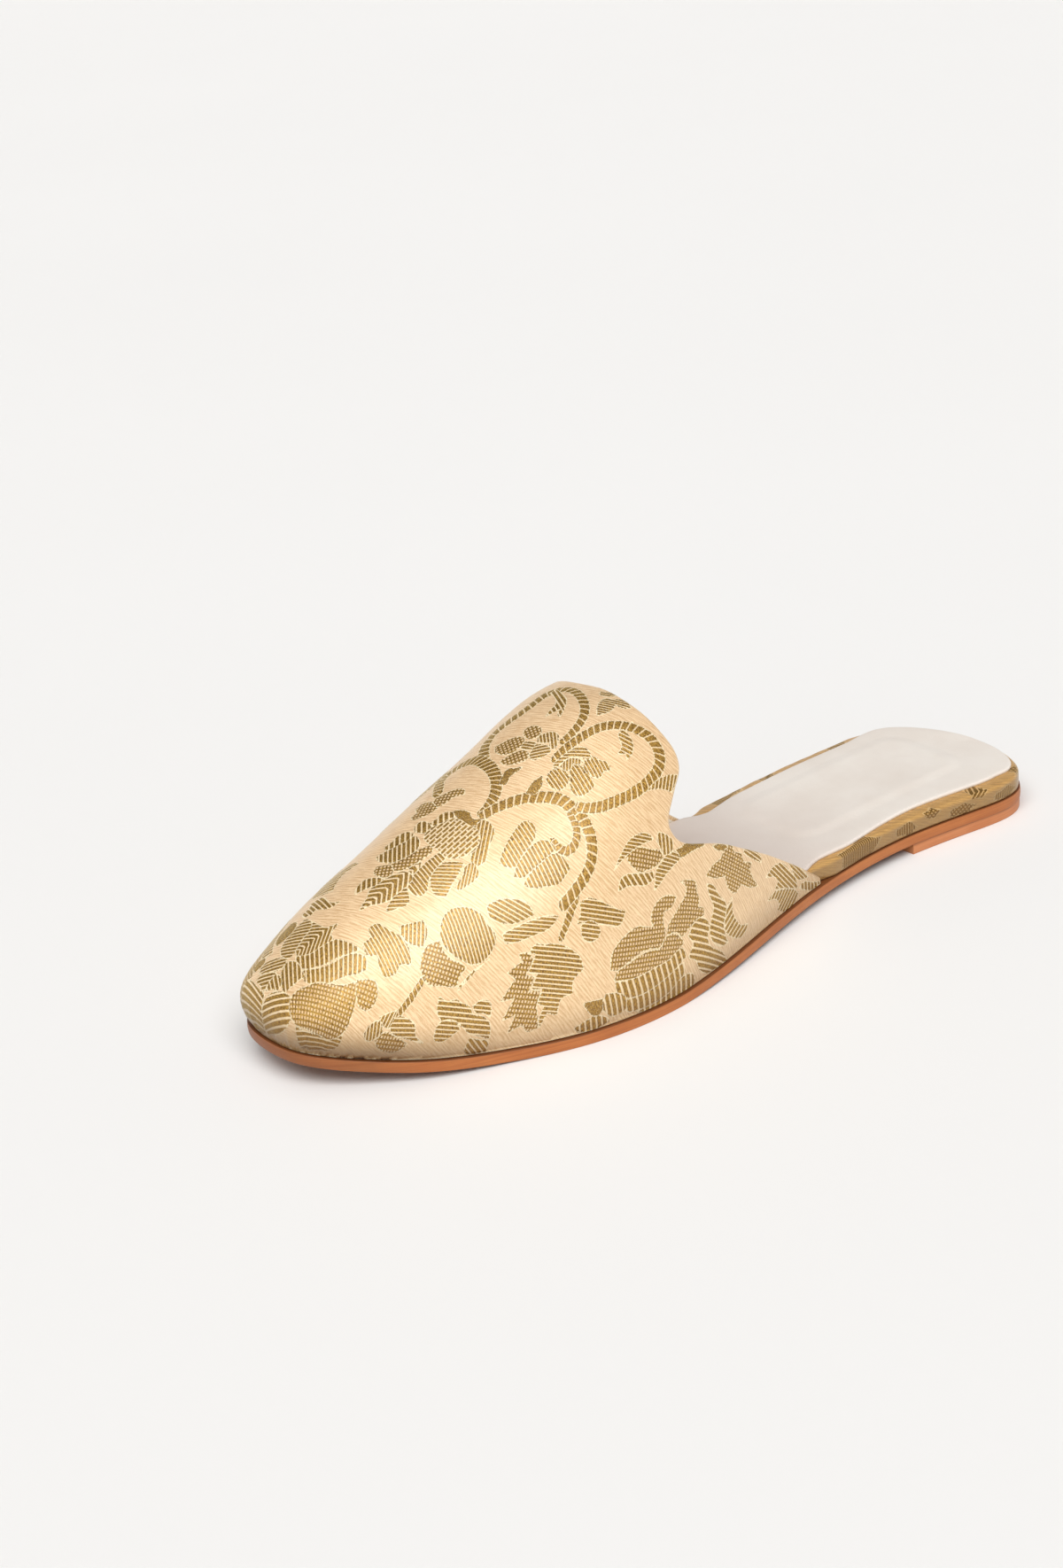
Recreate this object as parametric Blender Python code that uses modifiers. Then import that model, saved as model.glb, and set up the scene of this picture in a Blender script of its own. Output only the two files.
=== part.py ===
"""Left slide mule: flat sole, almond toe, high rounded tongue, side wings and an open heel.

Units are metres, +Z is up. The toe points to -Y and the heel to +Y, the little-toe side is +X.
The origin is the middle of the shoe's box, on the floor.
"""

from collections import namedtuple

import bpy
import numpy as np

# ---------------------------------------------------------------- driving sizes
LENGTH = 0.258             # outsole, heel back to toe tip
BALL_WIDTH = 0.083         # outsole, across the ball
INSTEP_HEIGHT = 0.073      # ridge of the upper above the feather edge, at the throat
HEEL_HEIGHT = 0.0033       # lift under the heel, floor to underside of the outsole
SOLE_THICKNESS = 0.0032
FOOTBED_THICKNESS = 0.0048
SOCK_THICKNESS = 0.0010
UPPER_WALL = 0.0016
TOE_SPRING = 0.0078        # rise of the outsole's underside at the tip
ARCH_RISE = 0.0004         # bow of the waist above the straight line from heel to tread

# ---------------------------------------------------------------- details
GAP = 0.0003               # between pieces that touch in the real shoe
LEDGE = 0.0010             # outsole edge standing proud of the upper
HEEL_RIM_INSET = 0.0010    # footbed edge behind the outsole edge, in the open heel
FORE_RIM_INSET = 0.0030    # the same inside the upper: ledge, wall and a little room
SOCK_INSET = 0.0010        # sock edge behind the footbed edge
BREAST_STATION = 0.213     # front of the heel lift, share of the length
TREAD_BACK = 0.62          # back and front of the flat tread, shares of the length
TREAD_FRONT = 0.755
RIM_TUCK = (0.30, 0.36)    # the footbed edge tucks inwards between these stations
WALL_SWELL = 0.0033        # how far the toe's wall stands out past the feather edge
SWELL_HEIGHT = 0.011       # height above the feather edge where it stands out most
SOLE_EDGE_RADIUS = 0.0005
FOOTBED_EDGE_RADIUS = 0.0012
SOCK_EDGE_RADIUS = 0.0003
LIFT_EDGE_RADIUS = 0.0004
LIFT_INSET = 0.0003

# ---------------------------------------------------------------- mesh fineness
PLATE_ROWS = 46            # rows across a sheet, heel to toe
LIFT_ROWS = 16
UPPER_COLUMNS = 84         # from wing end round the toe to wing end
UPPER_RINGS = 16           # from feather edge to topline
RING_CROWDING = 1.5        # above 1, rings lie closer together near the feather edge
SPLINE_STEPS = 24
SECTION_STEPS = 60
SMOOTH_ANGLE = 0.6         # radians; sharper edges stay crisp

# ---------------------------------------------------------------- tables
# Outline of the outsole. Stations are shares of LENGTH from the heel back,
# side distances are shares of BALL_WIDTH from the long axis.
Outline = namedtuple("Outline", "station lateral medial")
OUTLINE = (
    Outline(0.000, 0.019, 0.019),
    Outline(0.012, 0.236, -0.153),
    Outline(0.046, 0.364, -0.304),
    Outline(0.124, 0.370, -0.356),
    Outline(0.252, 0.326, -0.357),
    Outline(0.388, 0.366, -0.350),
    Outline(0.523, 0.466, -0.396),
    Outline(0.639, 0.519, -0.472),
    Outline(0.736, 0.481, -0.482),
    Outline(0.822, 0.376, -0.456),
    Outline(0.899, 0.264, -0.420),
    Outline(0.946, 0.158, -0.377),
    Outline(0.977, 0.071, -0.344),
    Outline(0.994, -0.008, -0.255),
    Outline(1.000, -0.127, -0.127),
)

# Sections of the upper over the last. The ridge height is a share of INSTEP_HEIGHT, the
# crest is the ridge's place across the section (0 lateral, 1 medial), and the fullness of a
# side is the power of its curve: 2 is an ellipse, more is squarer. The swell is the share of
# WALL_SWELL by which the wall stands out above the feather edge.
Section = namedtuple("Section", "station ridge crest lateral_fullness medial_fullness swell")
SECTIONS = (
    Section(0.349, 0.931, 0.60, 2.14, 2.59, 0.00),
    Section(0.547, 0.973, 0.60, 2.20, 3.34, 0.30),
    Section(0.609, 0.965, 0.59, 2.09, 2.72, 0.40),
    Section(0.678, 0.877, 0.58, 2.08, 2.31, 0.45),
    Section(0.756, 0.767, 0.57, 2.10, 2.20, 0.50),
    Section(0.833, 0.631, 0.55, 2.10, 2.20, 0.70),
    Section(0.911, 0.462, 0.53, 2.15, 2.25, 1.00),
    Section(0.961, 0.288, 0.52, 2.20, 2.35, 1.00),
    Section(1.000, 0.000, 0.51, 2.20, 2.35, 0.45),
)

# Topline from the wing end to the middle of the tongue; the medial wing and the tongue's medial
# shoulder are cut a little lower. The climb is the share of the way from the feather edge (0) to
# the ridge (1).
Topline = namedtuple("Topline", "station medial_station climb")
TOPLINE = (
    Topline(0.364, 0.364, 0.017),
    Topline(0.390, 0.390, 0.092),
    Topline(0.420, 0.420, 0.162),
    Topline(0.454, 0.464, 0.234),
    Topline(0.492, 0.513, 0.303),
    Topline(0.529, 0.556, 0.364),
    Topline(0.563, 0.582, 0.403),
    Topline(0.584, 0.595, 0.443),
    Topline(0.588, 0.593, 0.496),
    Topline(0.576, 0.576, 0.541),
    Topline(0.561, 0.561, 0.582),
    Topline(0.547, 0.547, 0.621),
    Topline(0.541, 0.543, 0.676),
    Topline(0.543, 0.549, 0.741),
    Topline(0.547, 0.560, 0.821),
    Topline(0.552, 0.561, 0.911),
    Topline(0.555, 0.555, 1.000),
)
WING_END = 0.364           # station where the wing's end meets the feather edge

# ---------------------------------------------------------------- colours (linear RGB)
Finish = namedtuple("Finish", "colour roughness metallic")
LEATHER_TAN = Finish((0.50, 0.20, 0.075), 0.45, 0.0)
LEATHER_DARK = Finish((0.36, 0.13, 0.05), 0.55, 0.0)
BROCADE_RIM = Finish((0.47, 0.30, 0.12), 0.50, 0.3)
BROCADE = Finish((0.72, 0.50, 0.26), 0.45, 0.3)
IVORY = Finish((0.76, 0.72, 0.66), 0.60, 0.0)


# ---------------------------------------------------------------- curves
def cubic_coefficients(spans, points, first_slope=None, last_slope=None):
    """Second derivatives of a cubic spline; an end without a slope is left free."""
    count = len(points)
    matrix = np.zeros((count, count))
    right = np.zeros_like(points)
    slopes = np.diff(points, axis=0) / spans[:, None]
    for i in range(1, count - 1):
        matrix[i, i - 1:i + 2] = spans[i - 1], 2 * (spans[i - 1] + spans[i]), spans[i]
        right[i] = 6 * (slopes[i] - slopes[i - 1])
    matrix[0, 0] = matrix[-1, -1] = 1
    if first_slope is not None:
        matrix[0, :2] = 2 * spans[0], spans[0]
        right[0] = 6 * (slopes[0] - first_slope)
    if last_slope is not None:
        matrix[-1, -2:] = spans[-1], 2 * spans[-1]
        right[-1] = 6 * (last_slope - slopes[-1])
    return np.linalg.solve(matrix, right)


def spline(knots, points, at, first_slope=None, last_slope=None):
    """Cubic spline through points (a row each) placed at the knots, read at the given values."""
    knots = np.asarray(knots, float)
    points = np.asarray(points, float).reshape(len(knots), -1)
    spans = np.diff(knots)
    bend = cubic_coefficients(spans, points, first_slope, last_slope)
    at = np.atleast_1d(at)
    i = np.clip(np.searchsorted(knots, at) - 1, 0, len(spans) - 1)
    span = spans[i][:, None]
    done = at[:, None] - knots[i][:, None]
    left = span - done
    return ((bend[i] * left ** 3 + bend[i + 1] * done ** 3) / (6 * span)
            + (points[i] / span - bend[i] * span / 6) * left
            + (points[i + 1] / span - bend[i + 1] * span / 6) * done)


def chord_knots(points):
    """Running length along a polyline."""
    return np.concatenate(([0.0], np.cumsum(np.linalg.norm(np.diff(points, axis=0), axis=1))))


def turn_of(station):
    """Angle that runs 0 at the heel back to pi at the toe tip; it spaces rows finely at both ends."""
    return np.arccos(np.clip(1 - 2 * np.asarray(station, float), -1, 1))


def station_of(turn):
    return (1 - np.cos(turn)) / 2


# ---------------------------------------------------------------- plan outline
def side_curve(column, outward):
    """One side of the outline, heel back to toe tip, as (turn, x) arrays."""
    points = np.array([(getattr(row, column) * BALL_WIDTH, row.station * LENGTH) for row in OUTLINE])
    knots = chord_knots(points)
    at = np.linspace(0, knots[-1], SPLINE_STEPS * len(OUTLINE))
    curve = spline(knots, points, at, np.array([outward, 0.0]), np.array([-outward, 0.0]))
    turns = np.maximum.accumulate(turn_of(curve[:, 1] / LENGTH))
    turns[-1] = np.pi
    return turns, curve[:, 0]


SIDES = {"lateral": (side_curve("lateral", 1.0), 1.0), "medial": (side_curve("medial", -1.0), -1.0)}
MIDDLE_X = (SIDES["lateral"][0][1].max() + SIDES["medial"][0][1].min()) / 2


def edge_and_inward(side, turn):
    """Plan point of a side of the outline and the unit direction into the shoe, as (x, y)."""
    (turns, xs), outward = SIDES[side]
    step = 0.012
    before, after = np.clip([turn - step, turn + step], 0, np.pi)
    run = np.array([np.interp(after, turns, xs) - np.interp(before, turns, xs),
                    (station_of(before) - station_of(after)) * LENGTH])
    if turn <= step or turn >= np.pi - step:
        run = np.array([outward if turn <= step else -outward, 0.0])
    run /= np.linalg.norm(run)
    edge = np.array([np.interp(turn, turns, xs) - MIDDLE_X, LENGTH * (0.5 - station_of(turn))])
    return edge, outward * np.array([run[1], -run[0]])


def edge_point(side, turn, inset=0.0):
    """Plan point of a side of the outline, moved inwards by the inset."""
    edge, inward = edge_and_inward(side, turn)
    return edge + inset * inward


def share_at(y):
    """Station, as a share of the length, of a place along Y."""
    return 0.5 - y / LENGTH


def underside(y):
    """Height of the outsole's underside: on the lift, down through the arch, tread, toe spring."""
    share = share_at(y)
    waist = np.clip((share - BREAST_STATION) / (TREAD_BACK - BREAST_STATION), 0, 1)
    spring = np.clip((share - TREAD_FRONT) / (1 - TREAD_FRONT), 0, 1)
    return HEEL_HEIGHT * (1 - waist) + ARCH_RISE * 4 * waist * (1 - waist) + TOE_SPRING * spring ** 2


def rim_inset(share):
    """Inset of the footbed edge: near the sole edge in the open heel, tucked in under the upper."""
    back, front = RIM_TUCK
    t = np.clip((share - back) / (front - back), 0, 1)
    return HEEL_RIM_INSET + (FORE_RIM_INSET - HEEL_RIM_INSET) * t * t * (3 - 2 * t)


# ---------------------------------------------------------------- upper form
SECTION_TURNS = [turn_of(row.station) for row in SECTIONS]


def section_value(column, turn):
    return float(spline(SECTION_TURNS, [getattr(row, column) for row in SECTIONS], turn)[0, 0])


def section_curve(turn):
    """Outside of the upper across the last at one turn, lateral feather edge to medial."""
    angle = np.linspace(0, np.pi, SECTION_STEPS + 1)
    on_lateral = angle < np.pi / 2
    power = 2 / np.where(on_lateral, section_value("lateral_fullness", turn),
                         section_value("medial_fullness", turn))
    climb = section_value("ridge", turn) * INSTEP_HEIGHT * np.abs(np.sin(angle)) ** power
    level = climb / SWELL_HEIGHT
    swell = section_value("swell", turn) * WALL_SWELL * level * np.exp(1 - level)
    sides = []
    for side in ("lateral", "medial"):
        edge, inward = edge_and_inward(side, turn)
        sides.append(edge + np.outer(LEDGE - swell, inward))
    lateral, medial = sides
    foot = lateral + (medial - lateral) * section_value("crest", turn)
    reach = np.abs(np.cos(angle)) ** power
    plan = foot + np.where(on_lateral[:, None], lateral - foot, medial - foot) * reach[:, None]
    return np.column_stack((plan, underside(plan[:, 1]) + SOLE_THICKNESS + GAP + climb))


class UpperForm:
    """The outside of the upper with its flat pattern: along is the distance from the toe tip
    up the ridge, across is the distance round the section from the ridge, lateral negative."""

    def __init__(self):
        self.turns = np.linspace(turn_of(SECTIONS[0].station), np.pi - 1e-4, 160)
        curves = [section_curve(turn) for turn in self.turns]
        self.girths = np.array([chord_knots(curve)[-1] for curve in curves])
        ridge = np.array([curve[SECTION_STEPS // 2] for curve in curves])
        runs = chord_knots(ridge)
        self.alongs = runs[-1] - runs

    def pattern(self, turn, climb, side):
        """Flat place of a point that has climbed this share from a side's feather edge."""
        along = np.interp(turn, self.turns, self.alongs)
        half = np.interp(turn, self.turns, self.girths) / 2
        return np.array([side * half * (1 - climb), along])

    def point(self, across, along):
        """Point of the outside at a flat place."""
        turn = np.interp(along, self.alongs[::-1], self.turns[::-1])
        curve = section_curve(turn)
        runs = chord_knots(curve)
        half = runs[-1] / 2
        place = half + np.clip(across, -half, half)
        return [np.interp(place, runs, curve[:, axis]) for axis in range(3)]


def topline_pattern(form, count):
    """Topline in the flat pattern, lateral wing end over the tongue to medial wing end."""
    lateral = [form.pattern(turn_of(row.station), row.climb, -1) for row in TOPLINE]
    medial = [form.pattern(turn_of(row.medial_station), row.climb, 1) for row in TOPLINE[-2::-1]]
    points = np.array(lateral + medial)
    knots = chord_knots(points)
    return spline(knots, points, np.linspace(0, knots[-1], count))


def feather_pattern(form, count):
    """Feather edge in the flat pattern, lateral wing end round the toe to medial wing end."""
    start = turn_of(WING_END)
    turns = np.linspace(start, 2 * np.pi - start, 8 * count)
    places = [form.pattern(min(t, 2 * np.pi - t), 0, -1 if t < np.pi else 1) for t in turns]
    runs = chord_knots(np.array(places))
    at = np.interp(np.linspace(0, runs[-1], count), runs, turns)
    return np.array([form.pattern(min(t, 2 * np.pi - t), 0, -1 if t < np.pi else 1) for t in at])


# ---------------------------------------------------------------- objects
def make_material(name, finish):
    material = bpy.data.materials.new(name)
    material.use_nodes = True
    shader = material.node_tree.nodes["Principled BSDF"]
    shader.inputs["Base Color"].default_value = (*finish.colour, 1.0)
    shader.inputs["Roughness"].default_value = finish.roughness
    shader.inputs["Metallic"].default_value = finish.metallic
    return material


def add_object(name, vertices, faces, finish, collection):
    mesh = bpy.data.meshes.new(name)
    mesh.from_pydata([tuple(v) for v in vertices], [], faces)
    mesh.shade_smooth()
    mesh.set_sharp_from_angle(angle=SMOOTH_ANGLE)
    mesh.materials.append(make_material(name + "_finish", finish))
    made = bpy.data.objects.new(name, mesh)
    collection.objects.link(made)
    return made


def thicken(target, thickness, offset):
    shell = target.modifiers.new("thickness", "SOLIDIFY")
    shell.thickness = thickness
    shell.offset = offset
    shell.use_even_offset = True
    shell.use_quality_normals = True


def round_edges(target, radius):
    bevel = target.modifiers.new("rounded_edges", "BEVEL")
    bevel.width = radius
    bevel.segments = 2
    bevel.limit_method = "ANGLE"
    bevel.angle_limit = SMOOTH_ANGLE


def add_plate(name, turns, inset, level, thickness, radius, finish, collection):
    """A sheet that follows the outline and the sole's curve, with rounded edges.

    The sheet is a ladder of rows across, each from the lateral to the medial edge; inset and
    level give each row's edge inset and underside height. It is thickened upwards.
    """
    vertices, lateral, medial = [], [], []
    for turn in turns:
        shared = turn in (0.0, np.pi)
        for side, chain in (("lateral", lateral), ("medial", medial)):
            if shared and side == "medial":
                chain.append(lateral[-1])
                continue
            x, y = edge_point(side, turn, inset(station_of(turn)))
            chain.append(len(vertices))
            vertices.append((x, y, level(y)))
    faces = []
    for k in range(len(turns) - 1):
        ring = (lateral[k], medial[k], medial[k + 1], lateral[k + 1])
        faces.append(tuple(dict.fromkeys(ring)))
    plate = add_object(name, vertices, faces, finish, collection)
    thicken(plate, thickness, 1.0)
    round_edges(plate, radius)
    return plate


def plate_turns():
    """Rows of a full-length sheet, with one on the breast and on each end of the tread."""
    turns = np.linspace(0, np.pi, PLATE_ROWS + 1)
    for share in (BREAST_STATION, TREAD_BACK, TREAD_FRONT):
        turns[np.abs(turns - turn_of(share)).argmin()] = turn_of(share)
    return turns


def add_outsole(collection):
    return add_plate("outsole", plate_turns(), lambda share: 0.0, underside,
                     SOLE_THICKNESS, SOLE_EDGE_RADIUS, LEATHER_TAN, collection)


def add_heel_lift(collection):
    turns = np.linspace(0, turn_of(BREAST_STATION), LIFT_ROWS)
    return add_plate("heel_lift", turns, lambda share: LIFT_INSET, lambda y: 0.0,
                     HEEL_HEIGHT - GAP, LIFT_EDGE_RADIUS, LEATHER_DARK, collection)


def add_footbed(collection):
    return add_plate("footbed", plate_turns(), rim_inset,
                     lambda y: underside(y) + SOLE_THICKNESS + GAP,
                     FOOTBED_THICKNESS, FOOTBED_EDGE_RADIUS, BROCADE_RIM, collection)


def add_insole_sock(collection):
    return add_plate("insole_sock", plate_turns(), lambda share: rim_inset(share) + SOCK_INSET,
                     lambda y: underside(y) + SOLE_THICKNESS + FOOTBED_THICKNESS + 2 * GAP,
                     SOCK_THICKNESS, SOCK_EDGE_RADIUS, IVORY, collection)


def add_upper(collection):
    """The hollow upper: rings between feather edge and topline, thickened inwards."""
    form = UpperForm()
    feather = feather_pattern(form, UPPER_COLUMNS + 1)
    topline = topline_pattern(form, UPPER_COLUMNS + 1)
    vertices = []
    for ring in range(UPPER_RINGS + 1):
        rise = (ring / UPPER_RINGS) ** RING_CROWDING
        for across, along in feather * (1 - rise) + topline * rise:
            vertices.append(form.point(across, along))
    width = UPPER_COLUMNS + 1
    faces = []
    for ring in range(UPPER_RINGS):
        for column in range(UPPER_COLUMNS):
            a = ring * width + column
            faces.append((a, a + width, a + width + 1, a + 1))
    upper = add_object("upper", vertices, faces, BROCADE, collection)
    thicken(upper, UPPER_WALL, -1.0)
    return upper


def main():
    for old in list(bpy.data.objects):
        bpy.data.objects.remove(old, do_unlink=True)
    collection = bpy.data.collections.new("slide_mule_left")
    bpy.context.scene.collection.children.link(collection)
    add_outsole(collection)
    add_heel_lift(collection)
    add_footbed(collection)
    add_insole_sock(collection)
    add_upper(collection)


main()
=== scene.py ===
"""Looks of the left slide mule: brocade upper, wrapped rim, ivory sock, leather sole and lift.

Units are metres unless a name ends in _MM. +Z is up, the toe points to -Y, little-toe side +X.
The upper's form follows the same sections as the CAD model, so that the cloth lies on it.
"""

from collections import namedtuple

import bpy
import numpy as np
from mathutils import Matrix, Vector
from mathutils.geometry import delaunay_2d_cdt


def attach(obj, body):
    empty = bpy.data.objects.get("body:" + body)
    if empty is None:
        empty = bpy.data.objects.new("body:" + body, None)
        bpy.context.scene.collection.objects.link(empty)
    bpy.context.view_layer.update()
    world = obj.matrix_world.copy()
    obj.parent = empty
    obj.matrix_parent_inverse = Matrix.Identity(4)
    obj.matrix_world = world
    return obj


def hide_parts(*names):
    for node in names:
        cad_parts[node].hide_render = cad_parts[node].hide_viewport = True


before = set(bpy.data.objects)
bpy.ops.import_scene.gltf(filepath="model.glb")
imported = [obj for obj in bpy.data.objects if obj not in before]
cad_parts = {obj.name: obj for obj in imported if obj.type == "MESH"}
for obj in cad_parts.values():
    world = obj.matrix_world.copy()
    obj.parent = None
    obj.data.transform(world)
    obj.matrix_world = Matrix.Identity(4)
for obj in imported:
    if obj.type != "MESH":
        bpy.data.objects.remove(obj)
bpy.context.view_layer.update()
MM = 0.001

# ---------------------------------------------------------------- sizes shared with the CAD model
LENGTH = 0.258
BALL_WIDTH = 0.083
INSTEP_HEIGHT = 0.073
HEEL_HEIGHT = 0.0033
SOLE_THICKNESS = 0.0032
FOOTBED_THICKNESS = 0.0048
UPPER_WALL = 0.0016
TOE_SPRING = 0.0078
ARCH_RISE = 0.0004
GAP = 0.0003               # stands for the glue between two parts
LEDGE = 0.0010             # the outsole shows this far outside the upper
HEEL_RIM_INSET = 0.0010
FORE_RIM_INSET = 0.0030
BREAST_STATION = 0.213     # front of the heel lift; stations are shares of LENGTH from the heel back
TREAD_BACK = 0.62
TREAD_FRONT = 0.755
RIM_TUCK = (0.30, 0.36)    # where the footbed's edge passes in under the upper
WALL_SWELL = 0.0033        # the toe's wall stands out this far past the feather edge,
SWELL_HEIGHT = 0.011       # furthest at this height above it
LIFT_INSET = 0.0003
SPLINE_STEPS = 24          # places read from each span of the outline
SECTION_STEPS = 60         # and round each section
SLOPE_TURN = 0.012         # the outline's direction is read this far to either side of a place
TIP_TURN = 1e-4            # the form's last section lies this far short of the toe tip
TINY = 1e-12               # keeps a length of nought from dividing

# Outline of the outsole: stations are shares of LENGTH from the heel back, side distances are
# shares of BALL_WIDTH from the long axis.
Outline = namedtuple("Outline", "station lateral medial")
OUTLINE = [Outline(*row) for row in (
    (0.000, 0.019, 0.019),
    (0.012, 0.236, -0.153),
    (0.046, 0.364, -0.304),
    (0.124, 0.370, -0.356),
    (0.252, 0.326, -0.357),
    (0.388, 0.366, -0.350),
    (0.523, 0.466, -0.396),
    (0.639, 0.519, -0.472),
    (0.736, 0.481, -0.482),
    (0.822, 0.376, -0.456),
    (0.899, 0.264, -0.420),
    (0.946, 0.158, -0.377),
    (0.977, 0.071, -0.344),
    (0.994, -0.008, -0.255),
    (1.000, -0.127, -0.127),
)]

# Sections of the upper over the last: ridge height as a share of INSTEP_HEIGHT, the ridge's
# place across (0 lateral, 1 medial), the fullness of each side and the share of WALL_SWELL.
Section = namedtuple("Section", "station ridge crest lateral_fullness medial_fullness swell")
SECTIONS = [Section(*row) for row in (
    (0.349, 0.931, 0.60, 2.14, 2.59, 0.00),
    (0.547, 0.973, 0.60, 2.20, 3.34, 0.30),
    (0.609, 0.965, 0.59, 2.09, 2.72, 0.40),
    (0.678, 0.877, 0.58, 2.08, 2.31, 0.45),
    (0.756, 0.767, 0.57, 2.10, 2.20, 0.50),
    (0.833, 0.631, 0.55, 2.10, 2.20, 0.70),
    (0.911, 0.462, 0.53, 2.15, 2.25, 1.00),
    (0.961, 0.288, 0.52, 2.20, 2.35, 1.00),
    (1.000, 0.000, 0.51, 2.20, 2.35, 0.45),
)]

# Topline from the wing end to the middle of the tongue; the medial wing and the tongue's medial
# shoulder are cut a little lower. The climb is the share of the way from the feather edge (0) to
# the ridge (1).
Topline = namedtuple("Topline", "station medial_station climb")
TOPLINE = [Topline(*row) for row in (
    (0.364, 0.364, 0.017),
    (0.390, 0.390, 0.092),
    (0.420, 0.420, 0.162),
    (0.454, 0.464, 0.234),
    (0.492, 0.513, 0.303),
    (0.529, 0.556, 0.364),
    (0.563, 0.582, 0.403),
    (0.584, 0.595, 0.443),
    (0.588, 0.593, 0.496),
    (0.576, 0.576, 0.541),
    (0.561, 0.561, 0.582),
    (0.547, 0.547, 0.621),
    (0.541, 0.543, 0.676),
    (0.543, 0.549, 0.741),
    (0.547, 0.560, 0.821),
    (0.552, 0.561, 0.911),
    (0.555, 0.555, 1.000),
)]
WING_END = TOPLINE[0].station

# ---------------------------------------------------------------- finish sizes
EDGE_ROLL = UPPER_WALL / 2       # radius of the brocade's turned edge
LINING_SINK = 0.00012            # the lining covers the turned-in brocade by this much
CLOTH_STEP_MM = 1.25             # spacing of the brocade's mesh
OUTLINE_STEP_MM = 0.45           # spacing of points along a woven shape's outline
EDGE_STEPS = 420                 # points along the topline and the feather edge
FINE_STEPS = 8                   # places read per point to space the feather edge evenly
UV_SPAN_MM = 205.0               # one UV unit on the upper


# ---------------------------------------------------------------- curves
def cubic_coefficients(spans, points, first_slope=None, last_slope=None):
    """Second derivatives of a cubic spline; an end without a slope is left free."""
    count = len(points)
    matrix = np.zeros((count, count))
    right = np.zeros_like(points)
    slopes = np.diff(points, axis=0) / spans[:, None]
    for i in range(1, count - 1):
        matrix[i, i - 1:i + 2] = spans[i - 1], 2 * (spans[i - 1] + spans[i]), spans[i]
        right[i] = 6 * (slopes[i] - slopes[i - 1])
    matrix[0, 0] = matrix[-1, -1] = 1
    if first_slope is not None:
        matrix[0, :2] = 2 * spans[0], spans[0]
        right[0] = 6 * (slopes[0] - first_slope)
    if last_slope is not None:
        matrix[-1, -2:] = spans[-1], 2 * spans[-1]
        right[-1] = 6 * (last_slope - slopes[-1])
    return np.linalg.solve(matrix, right)


def spline(knots, points, at, first_slope=None, last_slope=None):
    """Cubic spline through points (a row each) placed at the knots, read at the given values."""
    knots = np.asarray(knots, float)
    points = np.asarray(points, float).reshape(len(knots), -1)
    spans = np.diff(knots)
    bend = cubic_coefficients(spans, points, first_slope, last_slope)
    at = np.atleast_1d(at)
    i = np.clip(np.searchsorted(knots, at) - 1, 0, len(spans) - 1)
    span = spans[i][:, None]
    done = at[:, None] - knots[i][:, None]
    left = span - done
    return ((bend[i] * left ** 3 + bend[i + 1] * done ** 3) / (6 * span)
            + (points[i] / span - bend[i] * span / 6) * left
            + (points[i + 1] / span - bend[i + 1] * span / 6) * done)


def chord_knots(points):
    """Running length along a polyline."""
    return np.concatenate(([0.0], np.cumsum(np.linalg.norm(np.diff(points, axis=0), axis=1))))


def unit(rows):
    """Rows scaled to a length of 1."""
    return rows / (np.linalg.norm(rows, axis=-1, keepdims=True) + TINY)


def smooth_step(value, low, high):
    t = np.clip((value - low) / (high - low), 0, 1)
    return t * t * (3 - 2 * t)


def turn_of(station):
    """Angle that runs 0 at the heel back to pi at the toe tip."""
    return np.arccos(np.clip(1 - 2 * np.asarray(station, float), -1, 1))


def station_of(turn):
    return (1 - np.cos(turn)) / 2


# ---------------------------------------------------------------- plan outline
def side_curve(column, outward):
    """One side of the outline, heel back to toe tip, as (turn, x) arrays."""
    points = np.array([(getattr(row, column) * BALL_WIDTH, row.station * LENGTH) for row in OUTLINE])
    knots = chord_knots(points)
    at = np.linspace(0, knots[-1], SPLINE_STEPS * len(OUTLINE))
    curve = spline(knots, points, at, np.array([outward, 0.0]), np.array([-outward, 0.0]))
    turns = np.maximum.accumulate(turn_of(curve[:, 1] / LENGTH))
    turns[-1] = np.pi
    return turns, curve[:, 0]


SIDES = {"lateral": (side_curve("lateral", 1.0), 1.0), "medial": (side_curve("medial", -1.0), -1.0)}
MIDDLE_X = (SIDES["lateral"][0][1].max() + SIDES["medial"][0][1].min()) / 2


def edge_and_inward(side, turn):
    """Plan point of a side of the outline and the unit direction into the shoe, as (x, y)."""
    (turns, xs), outward = SIDES[side]
    before, after = np.clip([turn - SLOPE_TURN, turn + SLOPE_TURN], 0, np.pi)
    run = np.array([np.interp(after, turns, xs) - np.interp(before, turns, xs),
                    (station_of(before) - station_of(after)) * LENGTH])
    if turn <= SLOPE_TURN or turn >= np.pi - SLOPE_TURN:
        run = np.array([outward if turn <= SLOPE_TURN else -outward, 0.0])
    run /= np.linalg.norm(run)
    edge = np.array([np.interp(turn, turns, xs) - MIDDLE_X, LENGTH * (0.5 - station_of(turn))])
    return edge, outward * np.array([run[1], -run[0]])


def underside(y):
    """Height of the outsole's underside: on the lift, through the arch, tread and toe spring."""
    share = 0.5 - y / LENGTH
    waist = np.clip((share - BREAST_STATION) / (TREAD_BACK - BREAST_STATION), 0, 1)
    spring = np.clip((share - TREAD_FRONT) / (1 - TREAD_FRONT), 0, 1)
    return HEEL_HEIGHT * (1 - waist) + ARCH_RISE * 4 * waist * (1 - waist) + TOE_SPRING * spring ** 2


def rim_inset(share):
    """Inset of the footbed edge: near the sole edge in the open heel, tucked in under the upper."""
    return HEEL_RIM_INSET + (FORE_RIM_INSET - HEEL_RIM_INSET) * smooth_step(share, *RIM_TUCK)


# ---------------------------------------------------------------- upper form
SECTION_TURNS = [turn_of(row.station) for row in SECTIONS]


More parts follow.
